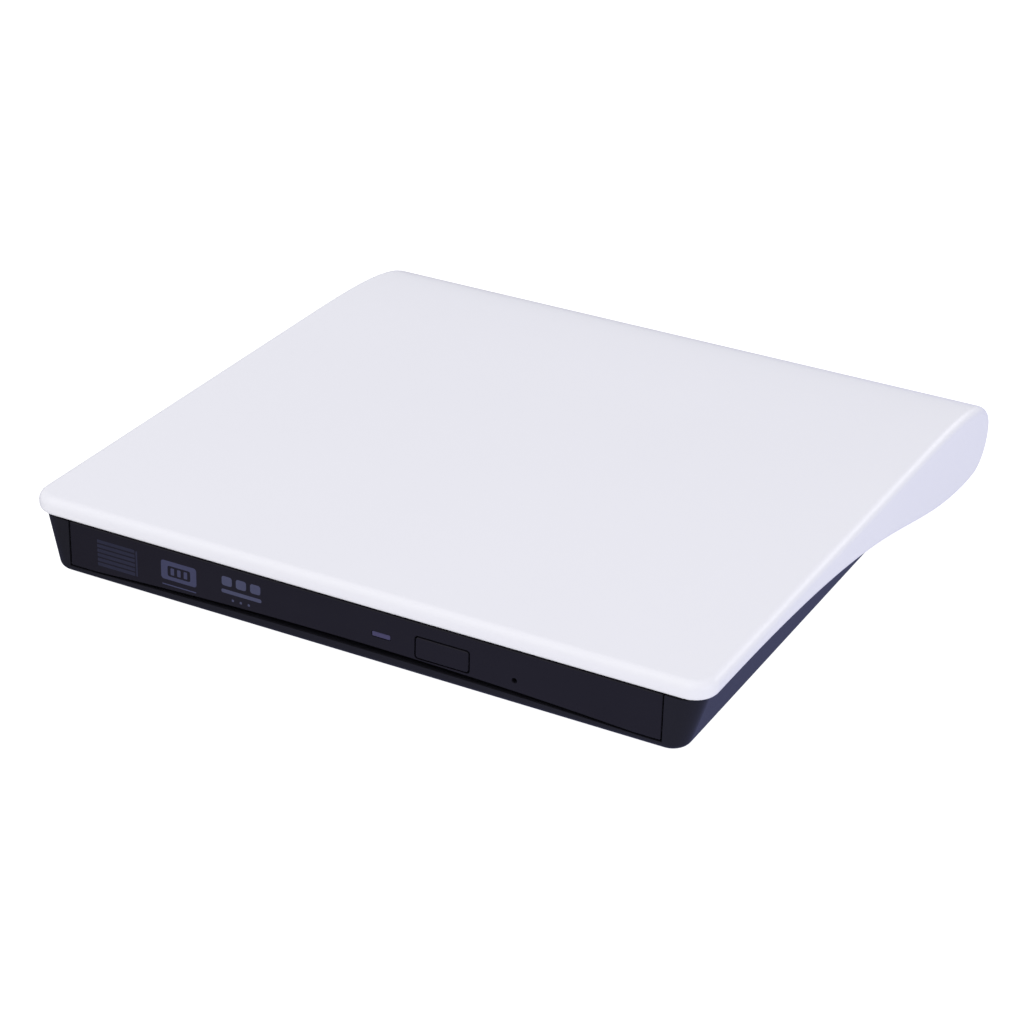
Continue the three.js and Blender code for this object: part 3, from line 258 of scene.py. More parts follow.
def prism(outline, start, end):
    """A closed outline of 3-D points carried along a vector: start and end shift it."""
    bm = bmesh.new()
    rings = [[bm.verts.new(Vector(p) + shift) for p in outline] for shift in (Vector(start), Vector(end))]
    count = len(outline)
    for i in range(count):
        j = (i + 1) % count
        bm.faces.new((rings[0][i], rings[0][j], rings[1][j], rings[1][i]))
    bm.faces.new(rings[0])
    bm.faces.new(rings[1])
    return bm


def block(x0, x1, y0, y1, z0, z1):
    return prism([(x0, y0, z0), (x1, y0, z0), (x1, y1, z0), (x0, y1, z0)], (0, 0, 0), (0, 0, z1 - z0))


def round_outline(x0, x1, y0, y1, radius, steps=6):
    """Points (x, y) of a rectangle with round corners, anticlockwise."""
    points = []
    centres = [(x1, y1), (x0, y1), (x0, y0), (x1, y0)]
    for quarter, (cx, cy) in enumerate(centres):
        cx += radius if cx == x0 else -radius
        cy += radius if cy == y0 else -radius
        for i in range(steps + 1):
            angle = (quarter + i / steps) * math.pi / 2
            points.append((cx + radius * math.cos(angle), cy + radius * math.sin(angle)))
    return points


def centred_outline(x, y, half_width, half_height, radius, steps=6):
    return round_outline(x - half_width, x + half_width, y - half_height, y + half_height, radius, steps)


def circle(x, y, radius, steps=40):
    return [
        (x + radius * math.cos(2 * math.pi * i / steps), y + radius * math.sin(2 * math.pi * i / steps))
        for i in range(steps)
    ]


def raised(points, z0, z1):
    return prism([(x, y, 0) for x, y in points], (0, 0, z0), (0, 0, z1))


def pushed(points, y0, y1):
    """A front outline (x, z) carried from y0 back to y1."""
    return prism([(x, 0, z) for x, z in points], (0, y0, 0), (0, y1, 0))


def across(points, x0, x1):
    """A side outline (y, z) carried from x0 to x1."""
    return prism([(0, y, z) for y, z in points], (x0, 0, 0), (x1, 0, 0))


def mesh_after_modifiers(obj):
    graph = bpy.context.evaluated_depsgraph_get()
    mesh = bpy.data.meshes.new_from_object(obj.evaluated_get(graph))
    obj.modifiers.clear()
    obj.data = mesh
    return obj


def combine(obj, operation, *others):
    """Cuts the other solids from obj, or joins them to it, and removes them."""
    tools = [other if isinstance(other, bpy.types.Object) else to_object("tool", other) for other in others]
    for tool in tools:
        modifier = obj.modifiers.new("combine", "BOOLEAN")
        modifier.operation = operation
        modifier.solver = "EXACT"
        modifier.object = tool
    mesh_after_modifiers(obj)
    for tool in tools:
        bpy.data.objects.remove(tool)
    return obj


def bevel(obj, width, segments=3, angle=35.0, weighted=False):
    modifier = obj.modifiers.new("bevel", "BEVEL")
    modifier.width = width
    modifier.segments = segments
    modifier.limit_method = "WEIGHT" if weighted else "ANGLE"
    modifier.angle_limit = math.radians(angle)
    modifier.use_clamp_overlap = not weighted
    modifier.miter_outer = "MITER_ARC"
    return mesh_after_modifiers(obj)


def weigh_edges(bm, weight):
    """Gives each edge the share of the bevel's width that the function returns for it."""
    layer = bm.edges.layers.float.new("bevel_weight_edge")
    for edge in bm.edges:
        edge[layer] = float(weight(edge))


def finish_piece(obj, body, slot, replaces=(), sharp=32.0, space=SLAB, material=None):
    """Moves a piece into the frame, shades it and hangs it on its body."""
    mesh = obj.data
    mesh.transform(space)
    bm = bmesh.new()
    bm.from_mesh(mesh)
    bmesh.ops.remove_doubles(bm, verts=bm.verts, dist=0.002 * MM)
    bmesh.ops.dissolve_degenerate(bm, edges=bm.edges, dist=0.001 * MM)
    bmesh.ops.recalc_face_normals(bm, faces=bm.faces)
    for face in bm.faces:
        face.smooth = True
    for edge in bm.edges:
        edge.smooth = len(edge.link_faces) == 2 and edge.calc_face_angle(0.0) < math.radians(sharp)
    bm.to_mesh(mesh)
    bm.free()
    mesh.materials.clear()
    mesh.materials.append(material or MATERIALS[slot])
    normals = obj.modifiers.new("normals", "WEIGHTED_NORMAL")
    normals.keep_sharp = True
    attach(obj, body)
    if replaces:
        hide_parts(*replaces)
    return obj


# ---- curves of the housing ------------------------------------------------------------------


def bezier(p0, p1, p2, p3, steps):
    points = []
    for i in range(1, steps + 1):
        t = i / steps
        weights = ((1 - t) ** 3, 3 * (1 - t) ** 2 * t, 3 * (1 - t) * t ** 2, t ** 3)
        points.append(tuple(sum(w * p[k] for w, p in zip(weights, (p0, p1, p2, p3))) for k in (0, 1)))
    return points


def quadratic(p0, p1, p2, steps=10):
    """The points of a quadratic curve between its two ends."""
    points = []
    for i in range(1, steps):
        t = i / steps
        weights = ((1 - t) ** 2, 2 * t * (1 - t), t ** 2)
        points.append(tuple(sum(w * p[k] for w, p in zip(weights, (p0, p1, p2))) for k in (0, 1)))
    return points


def arc(cy, cz, radius, start, end, steps):
    return [
        (
            cy + radius * math.cos(math.radians(start + (end - start) * i / steps)),
            cz + radius * math.sin(math.radians(start + (end - start) * i / steps)),
        )
        for i in range(1, steps + 1)
    ]


def corner_steps(steps=10):
    """(half width, y) round the front corner, from the front face to the side."""
    centre_x, centre_y = HALF_WIDTH - CORNER_RADIUS, FRONT_Y + CORNER_RADIUS
    return [
        (
            centre_x + CORNER_RADIUS * math.sin(math.pi / 2 * i / steps),
            centre_y - CORNER_RADIUS * math.cos(math.pi / 2 * i / steps),
        )
        for i in range(steps + 1)
    ]


def cover_outline():
    """Side outline (y, z) from the end of the flat top, round the tail and back to the lip."""
    rear_y = TAIL_Y + TAIL_RADIUS
    points = [(TAIL_START_Y, 0.0)]
    points += bezier(
        (TAIL_START_Y, 0.0), (TAIL_PULL_Y, 0.0), (rear_y, TAIL_SHOULDER_Z), (rear_y, TAIL_Z), 28,
    )
    points += arc(TAIL_Y, TAIL_Z, TAIL_RADIUS, 0, -90, 18)
    points += bezier(
        (TAIL_Y, BELLY_Z), (SWEEP_END_Y, BELLY_Z), (SWEEP_PULL_Y, -LIP), (SWEEP_START_Y, -LIP), 48,
    )
    return points


def tail_hollow():
    """Side outline (y, z) of the room inside the tail, a wall's thickness within its outside."""
    inner = TAIL_RADIUS - TAIL_WALL
    floor_z, rear_y = TAIL_Z - inner, TAIL_Y + inner
    front_top_z = BASE_TOP_Z - 0.1
    front_low = (BELLY_FRONT_Y, HOLLOW_FRONT_Z)
    points = [front_low, (BELLY_FRONT_Y, front_top_z), (TAIL_START_Y, front_top_z), (TAIL_START_Y, -ROOF)]
    shoulder = (rear_y, TAIL_SHOULDER_Z - TAIL_WALL)
    points += bezier((TAIL_START_Y, -ROOF), (TAIL_PULL_Y, -ROOF), shoulder, (rear_y, TAIL_Z), 24)
    points += arc(TAIL_Y, TAIL_Z, inner, 0, -90, 14)
    points += quadratic((TAIL_Y, floor_z), (BELLY_FRONT_Y + HOLLOW_PULL, floor_z), front_low)
    return points


def base_outline(z, inset, rear_y, steps=10):
    """Plan outline of the base at a height: round front corners, square rear."""
    half = BASE_TOP_HALF + (z - BASE_TOP_Z) * BASE_SLOPE - inset
    radius = BASE_CORNER - inset - BASE_CORNER_TAPER * (BASE_TOP_Z - z)
    centre_y = BASE_FRONT_Y + inset + radius
    points = [(half, rear_y), (-half, rear_y)]
    for side, start in ((-1, math.pi), (1, 1.5 * math.pi)):
        centre_x = side * (half - radius)
        for i in range(steps + 1):
            angle = start + math.pi / 2 * i / steps
            points.append((centre_x + radius * math.cos(angle), centre_y + radius * math.sin(angle)))
    return points


def base_body(inset, rear_y, z0, z1):
    """The base's form between two heights, drawn in by an inset."""
    bm = bmesh.new()
    low, high = [
        [bm.verts.new((x, y, z)) for x, y in base_outline(z, inset, rear_y)] for z in (z0, z1)
    ]
    count = len(low)
    for i in range(count):
        j = (i + 1) % count
        bm.faces.new((low[i], low[j], high[j], high[i]))
    bm.faces.new(low)
    bm.faces.new(high)
    return bm


# ---- housing --------------------------------------------------------------------------------


def cover_skin():
    """The cover's outer form, with the edges marked that the bevel rounds."""
    corner, side = corner_steps(), cover_outline()
    bm = bmesh.new()
    halves = []
    for sign in (-1, 1):
        upper = [bm.verts.new((sign * half, y, 0)) for half, y in corner]
        lower = [bm.verts.new((sign * half, y, -LIP)) for half, y in corner]
        wing = [bm.verts.new((sign * HALF_WIDTH, y, z)) for y, z in side]
        for i in range(len(corner) - 1):
            bm.faces.new((upper[i], upper[i + 1], lower[i + 1], lower[i]))
        bm.faces.new([upper[-1], *wing, lower[-1]])
        halves.append((upper, lower, wing))
    (upper_l, lower_l, wing_l), (upper_r, lower_r, wing_r) = halves
    bm.faces.new([*upper_l, wing_l[0], wing_r[0], *reversed(upper_r)])
    bm.faces.new([*lower_l, wing_l[-1], wing_r[-1], *reversed(lower_r)])
    bm.faces.new((upper_l[0], upper_r[0], lower_r[0], lower_l[0]))
    for i in range(len(wing_l) - 1):
        bm.faces.new((wing_l[i], wing_r[i], wing_r[i + 1], wing_l[i + 1]))
    bmesh.ops.recalc_face_normals(bm, faces=bm.faces)
    weigh_edges(bm, rim_rounding)
    return bm


def rim_rounding(edge):
    """Sharp edges are rounded: fully along the top, less along the lower rim."""
    if edge.calc_face_angle(0.0) < math.radians(50):
        return 0.0
    middle = (edge.verts[0].co + edge.verts[1].co) / 2
    if middle.y > TAIL_START_Y and middle.z > TAIL_Z:
        return 1.0
    if middle.y > TAIL_Y:
        return 1.0 - (1.0 - LOWER_RIM) * (TAIL_Z - middle.z) / TAIL_RADIUS
    return 1.0 if middle.z > -LIP / 2 else LOWER_RIM


def socket_ring(half_width, half_height, radius):
    return centred_outline(SOCKET_X, SOCKET_Z, half_width, half_height, radius)


def socket_opening():
    """The plug's recess in the rear wall and the hole for the socket's shell."""
    mouth_y = SOCKET_Y + GAP
    recess = pushed(socket_ring(RECESS_HALF_WIDTH, RECESS_HALF_HEIGHT, 1.5), mouth_y, mouth_y + 8)
    shell_ring = socket_ring(SOCKET_WIDTH / 2 + GAP, SOCKET_HEIGHT / 2 + GAP, 0.9)
    hole = pushed(shell_ring, SOCKET_Y - 5, SOCKET_Y + 3)
    return recess, hole


def make_cover():
    cover = bevel(to_object("cover_moulding", cover_skin()), EDGE, 5, weighted=True)
    inside = HALF_WIDTH - SIDE_WALL
    collar = block(
        SOCKET_X - COLLAR_HALF_WIDTH, SOCKET_X + COLLAR_HALF_WIDTH, COLLAR_Y, TAIL_Y + FAR,
        SOCKET_Z - COLLAR_HALF_HEIGHT, SOCKET_Z + COLLAR_HALF_HEIGHT,
    )
    tail_space = to_object("tail_space", across(tail_hollow(), -inside, inside))
    combine(tail_space, "DIFFERENCE", collar)
    combine(
        cover, "DIFFERENCE",
        block(-inside, inside, -1.0, TAIL_START_Y + 0.2, BASE_TOP_Z - 0.15, -ROOF),
        base_body(-GAP, BELLY_FRONT_Y + 0.01, -FAR, BASE_TOP_Z - 0.1),
        tail_space,
    )
    bosses = [
        raised(circle(side * SCREW_X, y, BOSS_RADIUS, 24), BASE_FLOOR_Z + GAP, -ROOF + 0.5)
        for side in (-1, 1) for y in SCREW_YS
    ]
    combine(cover, "UNION", *bosses)
    half_length, half_width = REAR_FOOT_LENGTH / 2 + GAP, REAR_FOOT_WIDTH / 2 + GAP
    pockets = []
    for side in (-1, 1):
        foot = centred_outline(side * REAR_FOOT_X, REAR_FOOT_Y, half_length, half_width, 1.5)
        pockets.append(raised(foot, -FAR, BELLY_Z + REAR_FOOT_POCKET))
    combine(cover, "DIFFERENCE", *socket_opening(), *pockets)
    return finish_piece(cover, "housing", "white_cover", ["top_cover"])


def arch_points(z, height, steps):
    """A shallow arch (x, z) from left to right, highest in the middle."""
    points = []
    for i in range(steps + 1):
        along = 2 * i / steps - 1
        points.append((along * ARCH_HALF, z + height * (1 - along * along)))
    return points


def lip_mouth(half):
    """The opening for the tray, as a front outline (x, z) whose lower edge is arched."""
    arch = arch_points(BASE_FLOOR_Z, LIP_ARCH_HEIGHT, 32)
    return [(half, 0), (-half, 0), (-half, BASE_FLOOR_Z), *arch, (half, BASE_FLOOR_Z)]


def make_base():
    skin = base_body(0, BASE_REAR_Y, BASE_BOTTOM_Z, BASE_TOP_Z)
    low = BASE_BOTTOM_Z + 0.01
    weigh_edges(skin, lambda edge: all(vert.co.z < low for vert in edge.verts))
    base = bevel(to_object("base_tub", skin), BASE_EDGE, 6, weighted=True)
    tray_mouth = pushed(lip_mouth(BEZEL_HALF + GAP), BASE_FRONT_Y - 2, 1)
    combine(base, "DIFFERENCE", base_cavity(), tray_mouth)
    cutters = []
    for i in range(VENT_COUNT):
        y = VENT_START_Y + i * VENT_PITCH
        slot = round_outline(-VENT_HALF_LENGTH, VENT_HALF_LENGTH, y, y + VENT_WIDTH, 0.5)
        cutters.append(raised(slot, -FAR, 0))
    for side in (-1, 1):
        foot = circle(side * FRONT_FOOT_X, FRONT_FOOT_Y, FRONT_FOOT_RADIUS + GAP)
        cutters.append(raised(foot, -FAR, BASE_BOTTOM_Z + FRONT_FOOT_POCKET))
        for y in SCREW_YS:
            hole = circle(side * SCREW_X, y, SCREW_HOLE_RADIUS, 20)
            sink = circle(side * SCREW_X, y, SCREW_SINK_RADIUS, 28)
            cutters.append(raised(hole, -FAR, 0))
            cutters.append(raised(sink, -FAR, BASE_BOTTOM_Z + SCREW_SINK))
    combine(base, "DIFFERENCE", *cutters)
    return finish_piece(base, "housing", "black_shell", ["base_shell"])


def base_cavity():
    """The base's inside: its skin drawn in, from just behind the front wall."""
    bm = base_body(BASE_WALL, BASE_REAR_Y + 2, BASE_FLOOR_Z, BASE_TOP_Z + 2)
    for vert in bm.verts:
        vert.co.y = max(vert.co.y, BASE_FRONT_INSIDE_Y)
    bmesh.ops.remove_doubles(bm, verts=bm.verts, dist=0.001)
    return bm


# ---- bezel, button, light and printed signs ---------------------------------------------------


def bezel_arch():
    """The finger arch along the lower edge, as a front outline (x, z)."""
    low_z = DRIVE_BOTTOM_Z - 1
    return [(ARCH_HALF, low_z), (-ARCH_HALF, low_z), *arch_points(DRIVE_BOTTOM_Z, ARCH_HEIGHT, 40)]


def button_outline(gap, radius):
    return centred_outline(BUTTON_X, BUTTON_Z, BUTTON_WIDTH / 2 + gap, BUTTON_HEIGHT / 2 + gap, radius)


def light_outline(gap, radius):
    return centred_outline(LED_X, LED_Z, LED_WIDTH / 2 + gap, LED_HEIGHT / 2 + gap, radius)


def make_bezel():
    body = block(-BEZEL_HALF, BEZEL_HALF, BEZEL_FRONT_Y, BEZEL_REAR_Y, DRIVE_BOTTOM_Z, DRIVE_TOP_Z)
    bezel = bevel(to_object("bezel_front", body), 0.25, 3)
    inner = BEZEL_HALF - BEZEL_RIM
    hollow = block(
        -inner, inner, BEZEL_FRONT_Y + BEZEL_FACE, FAR,
        DRIVE_BOTTOM_Z + BEZEL_LOWER_RIM, DRIVE_TOP_Z - BEZEL_RIM,
    )
    button, light = button_outline(GAP, 0.7), light_outline(LED_GAP, 0.3)
    pinhole = circle(PINHOLE_X, PINHOLE_Z, PINHOLE_RADIUS, 24)
    openings = [pushed(outline, -FAR, 0) for outline in (button, light, pinhole, bezel_arch())]
    combine(bezel, "DIFFERENCE", hollow, *openings)
    bevel(bezel, 0.09, 2, angle=60)
    return finish_piece(bezel, "tray_unit", "gloss_black", ["front_bezel"])


def make_button():
    cap = pushed(button_outline(0, 0.5), BEZEL_FRONT_Y - 0.1, CAP_REAR_Y)
    button = bevel(to_object("button_cap", cap), 0.18, 3, angle=60)
    stem = block(
        BUTTON_X - STEM_HALF, BUTTON_X + STEM_HALF, CAP_REAR_Y - 0.2, 0.25,
        BUTTON_Z - STEM_HALF, BUTTON_Z + STEM_HALF,
    )
    combine(button, "UNION", stem)
    return finish_piece(button, "button", "gloss_black", ["eject_button"])


def make_light_pipe():
    window = pushed(light_outline(0, 0.25), BEZEL_FRONT_Y + 0.1, CAP_REAR_Y)
    pipe = bevel(to_object("light_pipe", window), 0.08, 2, angle=60)
    height = LED_HEIGHT / 2
    guide = block(
        LED_X - STEM_HALF, LED_X + STEM_HALF, CAP_REAR_Y - 0.2, 1, LED_Z - height, LED_Z + height,
    )
    combine(pipe, "UNION", guide)
    return finish_piece(pipe, "tray_unit", "indicator_lens", ["led_light_pipe"])


def front_rectangle(x0, x1, z0, z1, radius=0.15):
    return pushed(round_outline(x0, x1, z0, z1, radius, 4), BEZEL_FRONT_Y - 0.02, BEZEL_FRONT_Y + 0.1)


def printed_mark(name, material, shapes):
    mark = to_object(name, shapes[0])
    if shapes[1:]:
        combine(mark, "UNION", *shapes[1:])
    return finish_piece(mark, "tray_unit", "gloss_black", material=material)


def make_marks():
    """Three plain printed signs in place of the usual format signs: bars, a frame and blocks."""
    bars_z, bar_height, bar_count = -12.1, 0.72, 6
    bars = [front_rectangle(-57.6, -48.8, bars_z + i, bars_z + i + bar_height) for i in range(bar_count)]
    upright = front_rectangle(-48.6, -48.2, bars_z, -6.5)
    printed_mark("printed_sign_bars", PRINTED_DIM, [*bars, upright])

    outer = to_object("printed_sign_frame", front_rectangle(-42.7, -34.6, -10.7, -6.6, 0.6))
    window = pushed(round_outline(-41.2, -36.0, -9.9, -7.6, 0.4, 4), -FAR, 0)
    combine(outer, "DIFFERENCE", window)
    cell_width = 0.8
    cells = [front_rectangle(x, x + cell_width, -9.5, -8.0) for x in (-40.5, -39.0, -37.5)]
    underline = front_rectangle(-42.5, -34.7, -11.95, -11.7, 0.1)
    combine(outer, "UNION", underline, *cells)
    finish_piece(outer, "tray_unit", "gloss_black", material=PRINTED_MID)

    block_width, dot_size, dots_z = 2.3, 0.5, -11.4
    blocks = [front_rectangle(x, x + block_width, -8.3, -6.3, 0.5) for x in (-28.8, -25.6, -22.4)]
    bar = front_rectangle(-28.9, -19.9, -9.9, -9.1, 0.35)
    dots = [front_rectangle(x, x + dot_size, dots_z, dots_z + dot_size) for x in (-26.6, -24.8, -23.0)]
    printed_mark("printed_sign_blocks", PRINTED_LIGHT, [*blocks, bar, *dots])


# ---- fasteners and socket ---------------------------------------------------------------------


def make_screws():
    top = BASE_BOTTOM_Z + SCREW_HEAD_HEIGHT + 0.05
    cross_bars = [(SCREW_CROSS_HALF, SCREW_CROSS_WIDTH / 2), (SCREW_CROSS_WIDTH / 2, SCREW_CROSS_HALF)]
    for side, side_name in ((-1, "left"), (1, "right")):
        for y, end_name in zip(SCREW_YS, ("front", "rear")):
            x = side * SCREW_X
            head = to_object("head", raised(circle(x, y, SCREW_HEAD_RADIUS), top - SCREW_HEAD_HEIGHT, top))
            bevel(head, 0.12, 2, angle=60)
            shank = raised(circle(x, y, SCREW_SHANK_RADIUS, 20), top - 0.3, SCREW_END_Z)
            screw = to_object(f"case_screw_{end_name}_{side_name}", shank)
            combine(screw, "UNION", head)
            cross_top = top - SCREW_HEAD_HEIGHT + SCREW_CROSS_DEPTH
            cross = [block(x - a, x + a, y - b, y + b, -FAR, cross_top) for a, b in cross_bars]
            combine(screw, "DIFFERENCE", *cross)
            finish_piece(screw, "housing", "dark_steel", [f"housing_screw_{end_name}_{side_name}"])


def make_socket():
    width, height = SOCKET_WIDTH / 2, SOCKET_HEIGHT / 2
    rear = SOCKET_Y
    shell = to_object("data_socket", pushed(socket_ring(width, height, 0.8), rear - SOCKET_LENGTH, rear))
    inside = socket_ring(width - SOCKET_SHEET, height - SOCKET_SHEET, 0.5)
    combine(shell, "DIFFERENCE", pushed(inside, rear - SOCKET_DEPTH, rear + 2))
    bevel(shell, 0.08, 2, angle=60)
    finish_piece(shell, "housing", "case_steel", ["usb_socket"])
    tongue = block(
        SOCKET_X - TONGUE_HALF_WIDTH, SOCKET_X + TONGUE_HALF_WIDTH, rear - SOCKET_DEPTH - 0.1, rear - 1,
        SOCKET_Z - TONGUE_HALF_HEIGHT, SOCKET_Z + TONGUE_HALF_HEIGHT,
    )
    tongue = bevel(to_object("socket_tongue", tongue), 0.12, 2)
    finish_piece(tongue, "housing", "connector_plastic")
    spring_low, spring_high = SOCKET_Z - TONGUE_HALF_HEIGHT - 0.06, SOCKET_Z - TONGUE_HALF_HEIGHT + 0.02
    springs = []
    for i in range(CONTACT_COUNT):
        left = SOCKET_X + (i - (CONTACT_COUNT - 1) / 2) * CONTACT_PITCH - CONTACT_WIDTH / 2
        springs.append(block(left, left + CONTACT_WIDTH, rear - 6, rear - 1.3, spring_low, spring_high))
    contacts = to_object("socket_contacts", springs[0])
    combine(contacts, "UNION", *springs[1:])
    finish_piece(contacts, "housing", "screw_brass", material=GOLD)


# ---- tray and disc drive ------------------------------------------------------------------------


def lathe(profile, x=0.0, y=0.0, steps=96):
    """A profile of (radius, z) turned about a vertical axis, closed at both ends on the axis."""
    bm = bmesh.new()
    rings = []
    for radius, z in profile:
        if radius == 0:
            rings.append([bm.verts.new((x, y, z))])
        else:
            rings.append([bm.verts.new((px, py, z)) for px, py in circle(x, y, radius, steps)])
    for low, high in zip(rings, rings[1:]):
        for i in range(steps):
            j = (i + 1) % steps
            corners = [low[i % len(low)], low[j % len(low)], high[j % len(high)], high[i % len(high)]]
            bm.faces.new(list(dict.fromkeys(corners)))
    return bm


def tray_outline(half):
    """Plan of the tray, with its rear corners cut off."""
    cut_y, cut_x = TRAY_REAR_Y - TRAY_REAR_CUT, half - TRAY_REAR_CUT
    return [
        (-half, TRAY_FRONT_Y), (half, TRAY_FRONT_Y), (half, cut_y),
        (cut_x, TRAY_REAR_Y), (-cut_x, TRAY_REAR_Y), (-half, cut_y),
    ]


def traverse_outline(u0, u1, v0, v1):
    """Plan of a rectangle in the traverse's own plan (u, v)."""
    turn = Matrix.Rotation(math.radians(-45), 2)
    corners = [turn @ Vector(p) for p in ((u0, v0), (u1, v0), (u1, v1), (u0, v1))]
    return [(p.x, p.y + DISC_Y) for p in corners]


def tray_openings():
    """What is cut from the tray: disc beds, the traverse's and the hub's openings, and slots."""
    disc_bed = raised(circle(0, DISC_Y, DISC_RADIUS, 160), DISC_Z, FAR)
    small_disc_bed = raised(circle(0, DISC_Y, SMALL_DISC_RADIUS, 128), SMALL_DISC_Z, FAR)
    traverse_opening = raised(traverse_outline(8, 65.4, -14.8, 20.8), -FAR, SMALL_DISC_Z + 0.9)
    hub_opening = raised(circle(0, DISC_Y, HUB_OPENING_RADIUS, 96), -FAR, FAR)
    board_slot = block(0, 30, TRAY_FRONT_Y - 1, 3.6, -12.4, -7.2)
    pinhole = pushed(circle(PINHOLE_X, PINHOLE_Z, PINHOLE_RADIUS + 0.3, 20), TRAY_FRONT_Y - 1, 3)
    latch_notch = block(59, 61.5, 1.9, 8.9, -11.2, -9.1)
    return disc_bed, small_disc_bed, traverse_opening, hub_opening, board_slot, pinhole, latch_notch


def make_tray():
    top = TRAY_DECK_Z + 0.2
    tray = to_object("disc_tray", raised(tray_outline(TRAY_HALF), TRAY_DECK_Z, TRAY_TOP_Z))
    combine(
        tray, "UNION",
        raised(tray_outline(TRAY_WING_HALF), TRAY_WING_Z, TRAY_TOP_Z),
        block(-TRAY_HALF, TRAY_HALF, TRAY_FRONT_Y, TRAY_FRONT_Y + TRAY_WALL, TRAY_SKIRT_Z, top),
        block(-TRAY_HALF, -TRAY_HALF + TRAY_WALL, TRAY_FRONT_Y, TRAY_LEFT_WALL_REAR, TRAY_SKIRT_Z, top),
        block(TRAY_HALF - TRAY_WALL, TRAY_HALF, TRAY_FRONT_Y, TRAY_RIGHT_WALL_REAR, TRAY_SKIRT_Z, top),
        block(TRAY_RIB_X, TRAY_RIB_X + 1, TRAY_FRONT_Y, TRAY_RIB_REAR, TRAY_SKIRT_Z + 0.3, top),
    )
    combine(tray, "DIFFERENCE", *tray_openings())
    bevel(tray, 0.18, 2, angle=50)
    finish_piece(tray, "tray_unit", "tray_plastic", ["tray"])


def claw_slots():
    half_width, inner, outer = 1.5, 3.5, 8.1
    slots = []
    for angle in CLAW_ANGLES:
        slot = block(inner, outer, -half_width, half_width, TABLE_Z + 0.1, HUB_TOP_Z - 0.5)
        bmesh.ops.rotate(slot, verts=slot.verts, matrix=Matrix.Rotation(angle, 3, "Z"))
        slots.append(slot)
    return slots


def make_spindle():
    """The turntable: motor shaft, rotor cup, disc table and centring hub, with a rubber ring."""
    shaft, shaft_z = 1, -12
    cup_inner, cup_outer, cup_z, cup_roof_z = 9.6, 10.4, -11.4, -9.3
    profile = [
        (0, shaft_z), (shaft, shaft_z), (shaft, cup_roof_z), (cup_inner, cup_roof_z),
        (cup_inner, cup_z), (cup_outer, cup_z), (cup_outer, -8.7),
        (TABLE_RADIUS - 0.2, -8.32), (TABLE_RADIUS, -8.2), (TABLE_RADIUS, TABLE_Z - 0.15),
        (TABLE_RADIUS - 0.15, TABLE_Z), (HUB_RADIUS + 0.1, TABLE_Z), (HUB_RADIUS, TABLE_Z + 0.1),
        (HUB_RADIUS, -5.9), (7.15, -5.65), (6.7, -5.3), (6.4, HUB_TOP_Z), (2.2, HUB_TOP_Z),
        (2.0, HUB_TOP_Z - 0.5), (0, HUB_TOP_Z - 0.5),
    ]
    table = to_object("disc_turntable", lathe(profile))
    combine(table, "DIFFERENCE", *claw_slots())
    finish_piece(table, "spindle", "tray_plastic", ["turntable"], space=TRAVERSE)
    inner, outer = 9.4, 12.4
    low_z, edge_z, top_z = TABLE_Z - 0.1, TABLE_Z + 0.03, TABLE_Z + 0.06
    ring = [
        (inner, low_z), (outer, low_z), (outer, edge_z), (outer - 0.1, top_z),
        (inner + 0.1, top_z), (inner, edge_z), (inner, low_z),
    ]
    grip = to_object("disc_grip_ring", lathe(ring))
    finish_piece(grip, "spindle", "rubber", space=TRAVERSE)


def make_lens():
    low_z, rim_z, crown_z, crown_pull = -10.2, -9.9, -9.3, 1.2
    profile = [(0, low_z), (LENS_RADIUS, low_z), (LENS_RADIUS, rim_z)]
    profile += quadratic((LENS_RADIUS, rim_z), (crown_pull, crown_z), (0, crown_z))
    profile.append((0, crown_z))
    lens = to_object("objective_dome", lathe(profile, LENS_U, 0, 48))
    finish_piece(lens, "lens", "optics", ["objective_lens"], space=TRAVERSE)


def make_lead_screw(turn_steps=24, step=0.25):
    """A shaft with a helical groove between its two journals."""
    journal, journal_radius, groove = 3.0, 0.63, 0.22
    bm = bmesh.new()
    stations = [(LEAD_SCREW_U0, journal_radius), (LEAD_SCREW_U0 + journal - 0.1, journal_radius)]
    count = int((LEAD_SCREW_U1 - LEAD_SCREW_U0 - 2 * journal) / step)
    stations += [(LEAD_SCREW_U0 + journal + i * step, None) for i in range(count + 1)]
    stations += [(LEAD_SCREW_U1 - journal + 0.1, journal_radius), (LEAD_SCREW_U1, journal_radius)]
    rings = []
    for u, radius in stations:
        ring = []
        for k in range(turn_steps):
            angle = 2 * math.pi * k / turn_steps
            phase = math.cos(2 * math.pi * (u / LEAD_SCREW_PITCH) - angle)
            r = radius or LEAD_SCREW_RADIUS - groove * max(0.0, phase) ** 2
            v, z = LEAD_SCREW_V + r * math.cos(angle), LEAD_SCREW_Z + r * math.sin(angle)
            ring.append(bm.verts.new((u, v, z)))
        rings.append(ring)
    for low, high in zip(rings, rings[1:]):
        for i in range(turn_steps):
            j = (i + 1) % turn_steps
            bm.faces.new((low[i], low[j], high[j], high[i]))
    bm.faces.new(rings[0])
    bm.faces.new(rings[-1])
    screw = to_object("lead_screw_thread", bm)
    finish_piece(screw, "screw", "screw_brass", ["lead_screw"], space=TRAVERSE, sharp=60)


# ---- carried-over nodes -----------------------------------------------------------------------


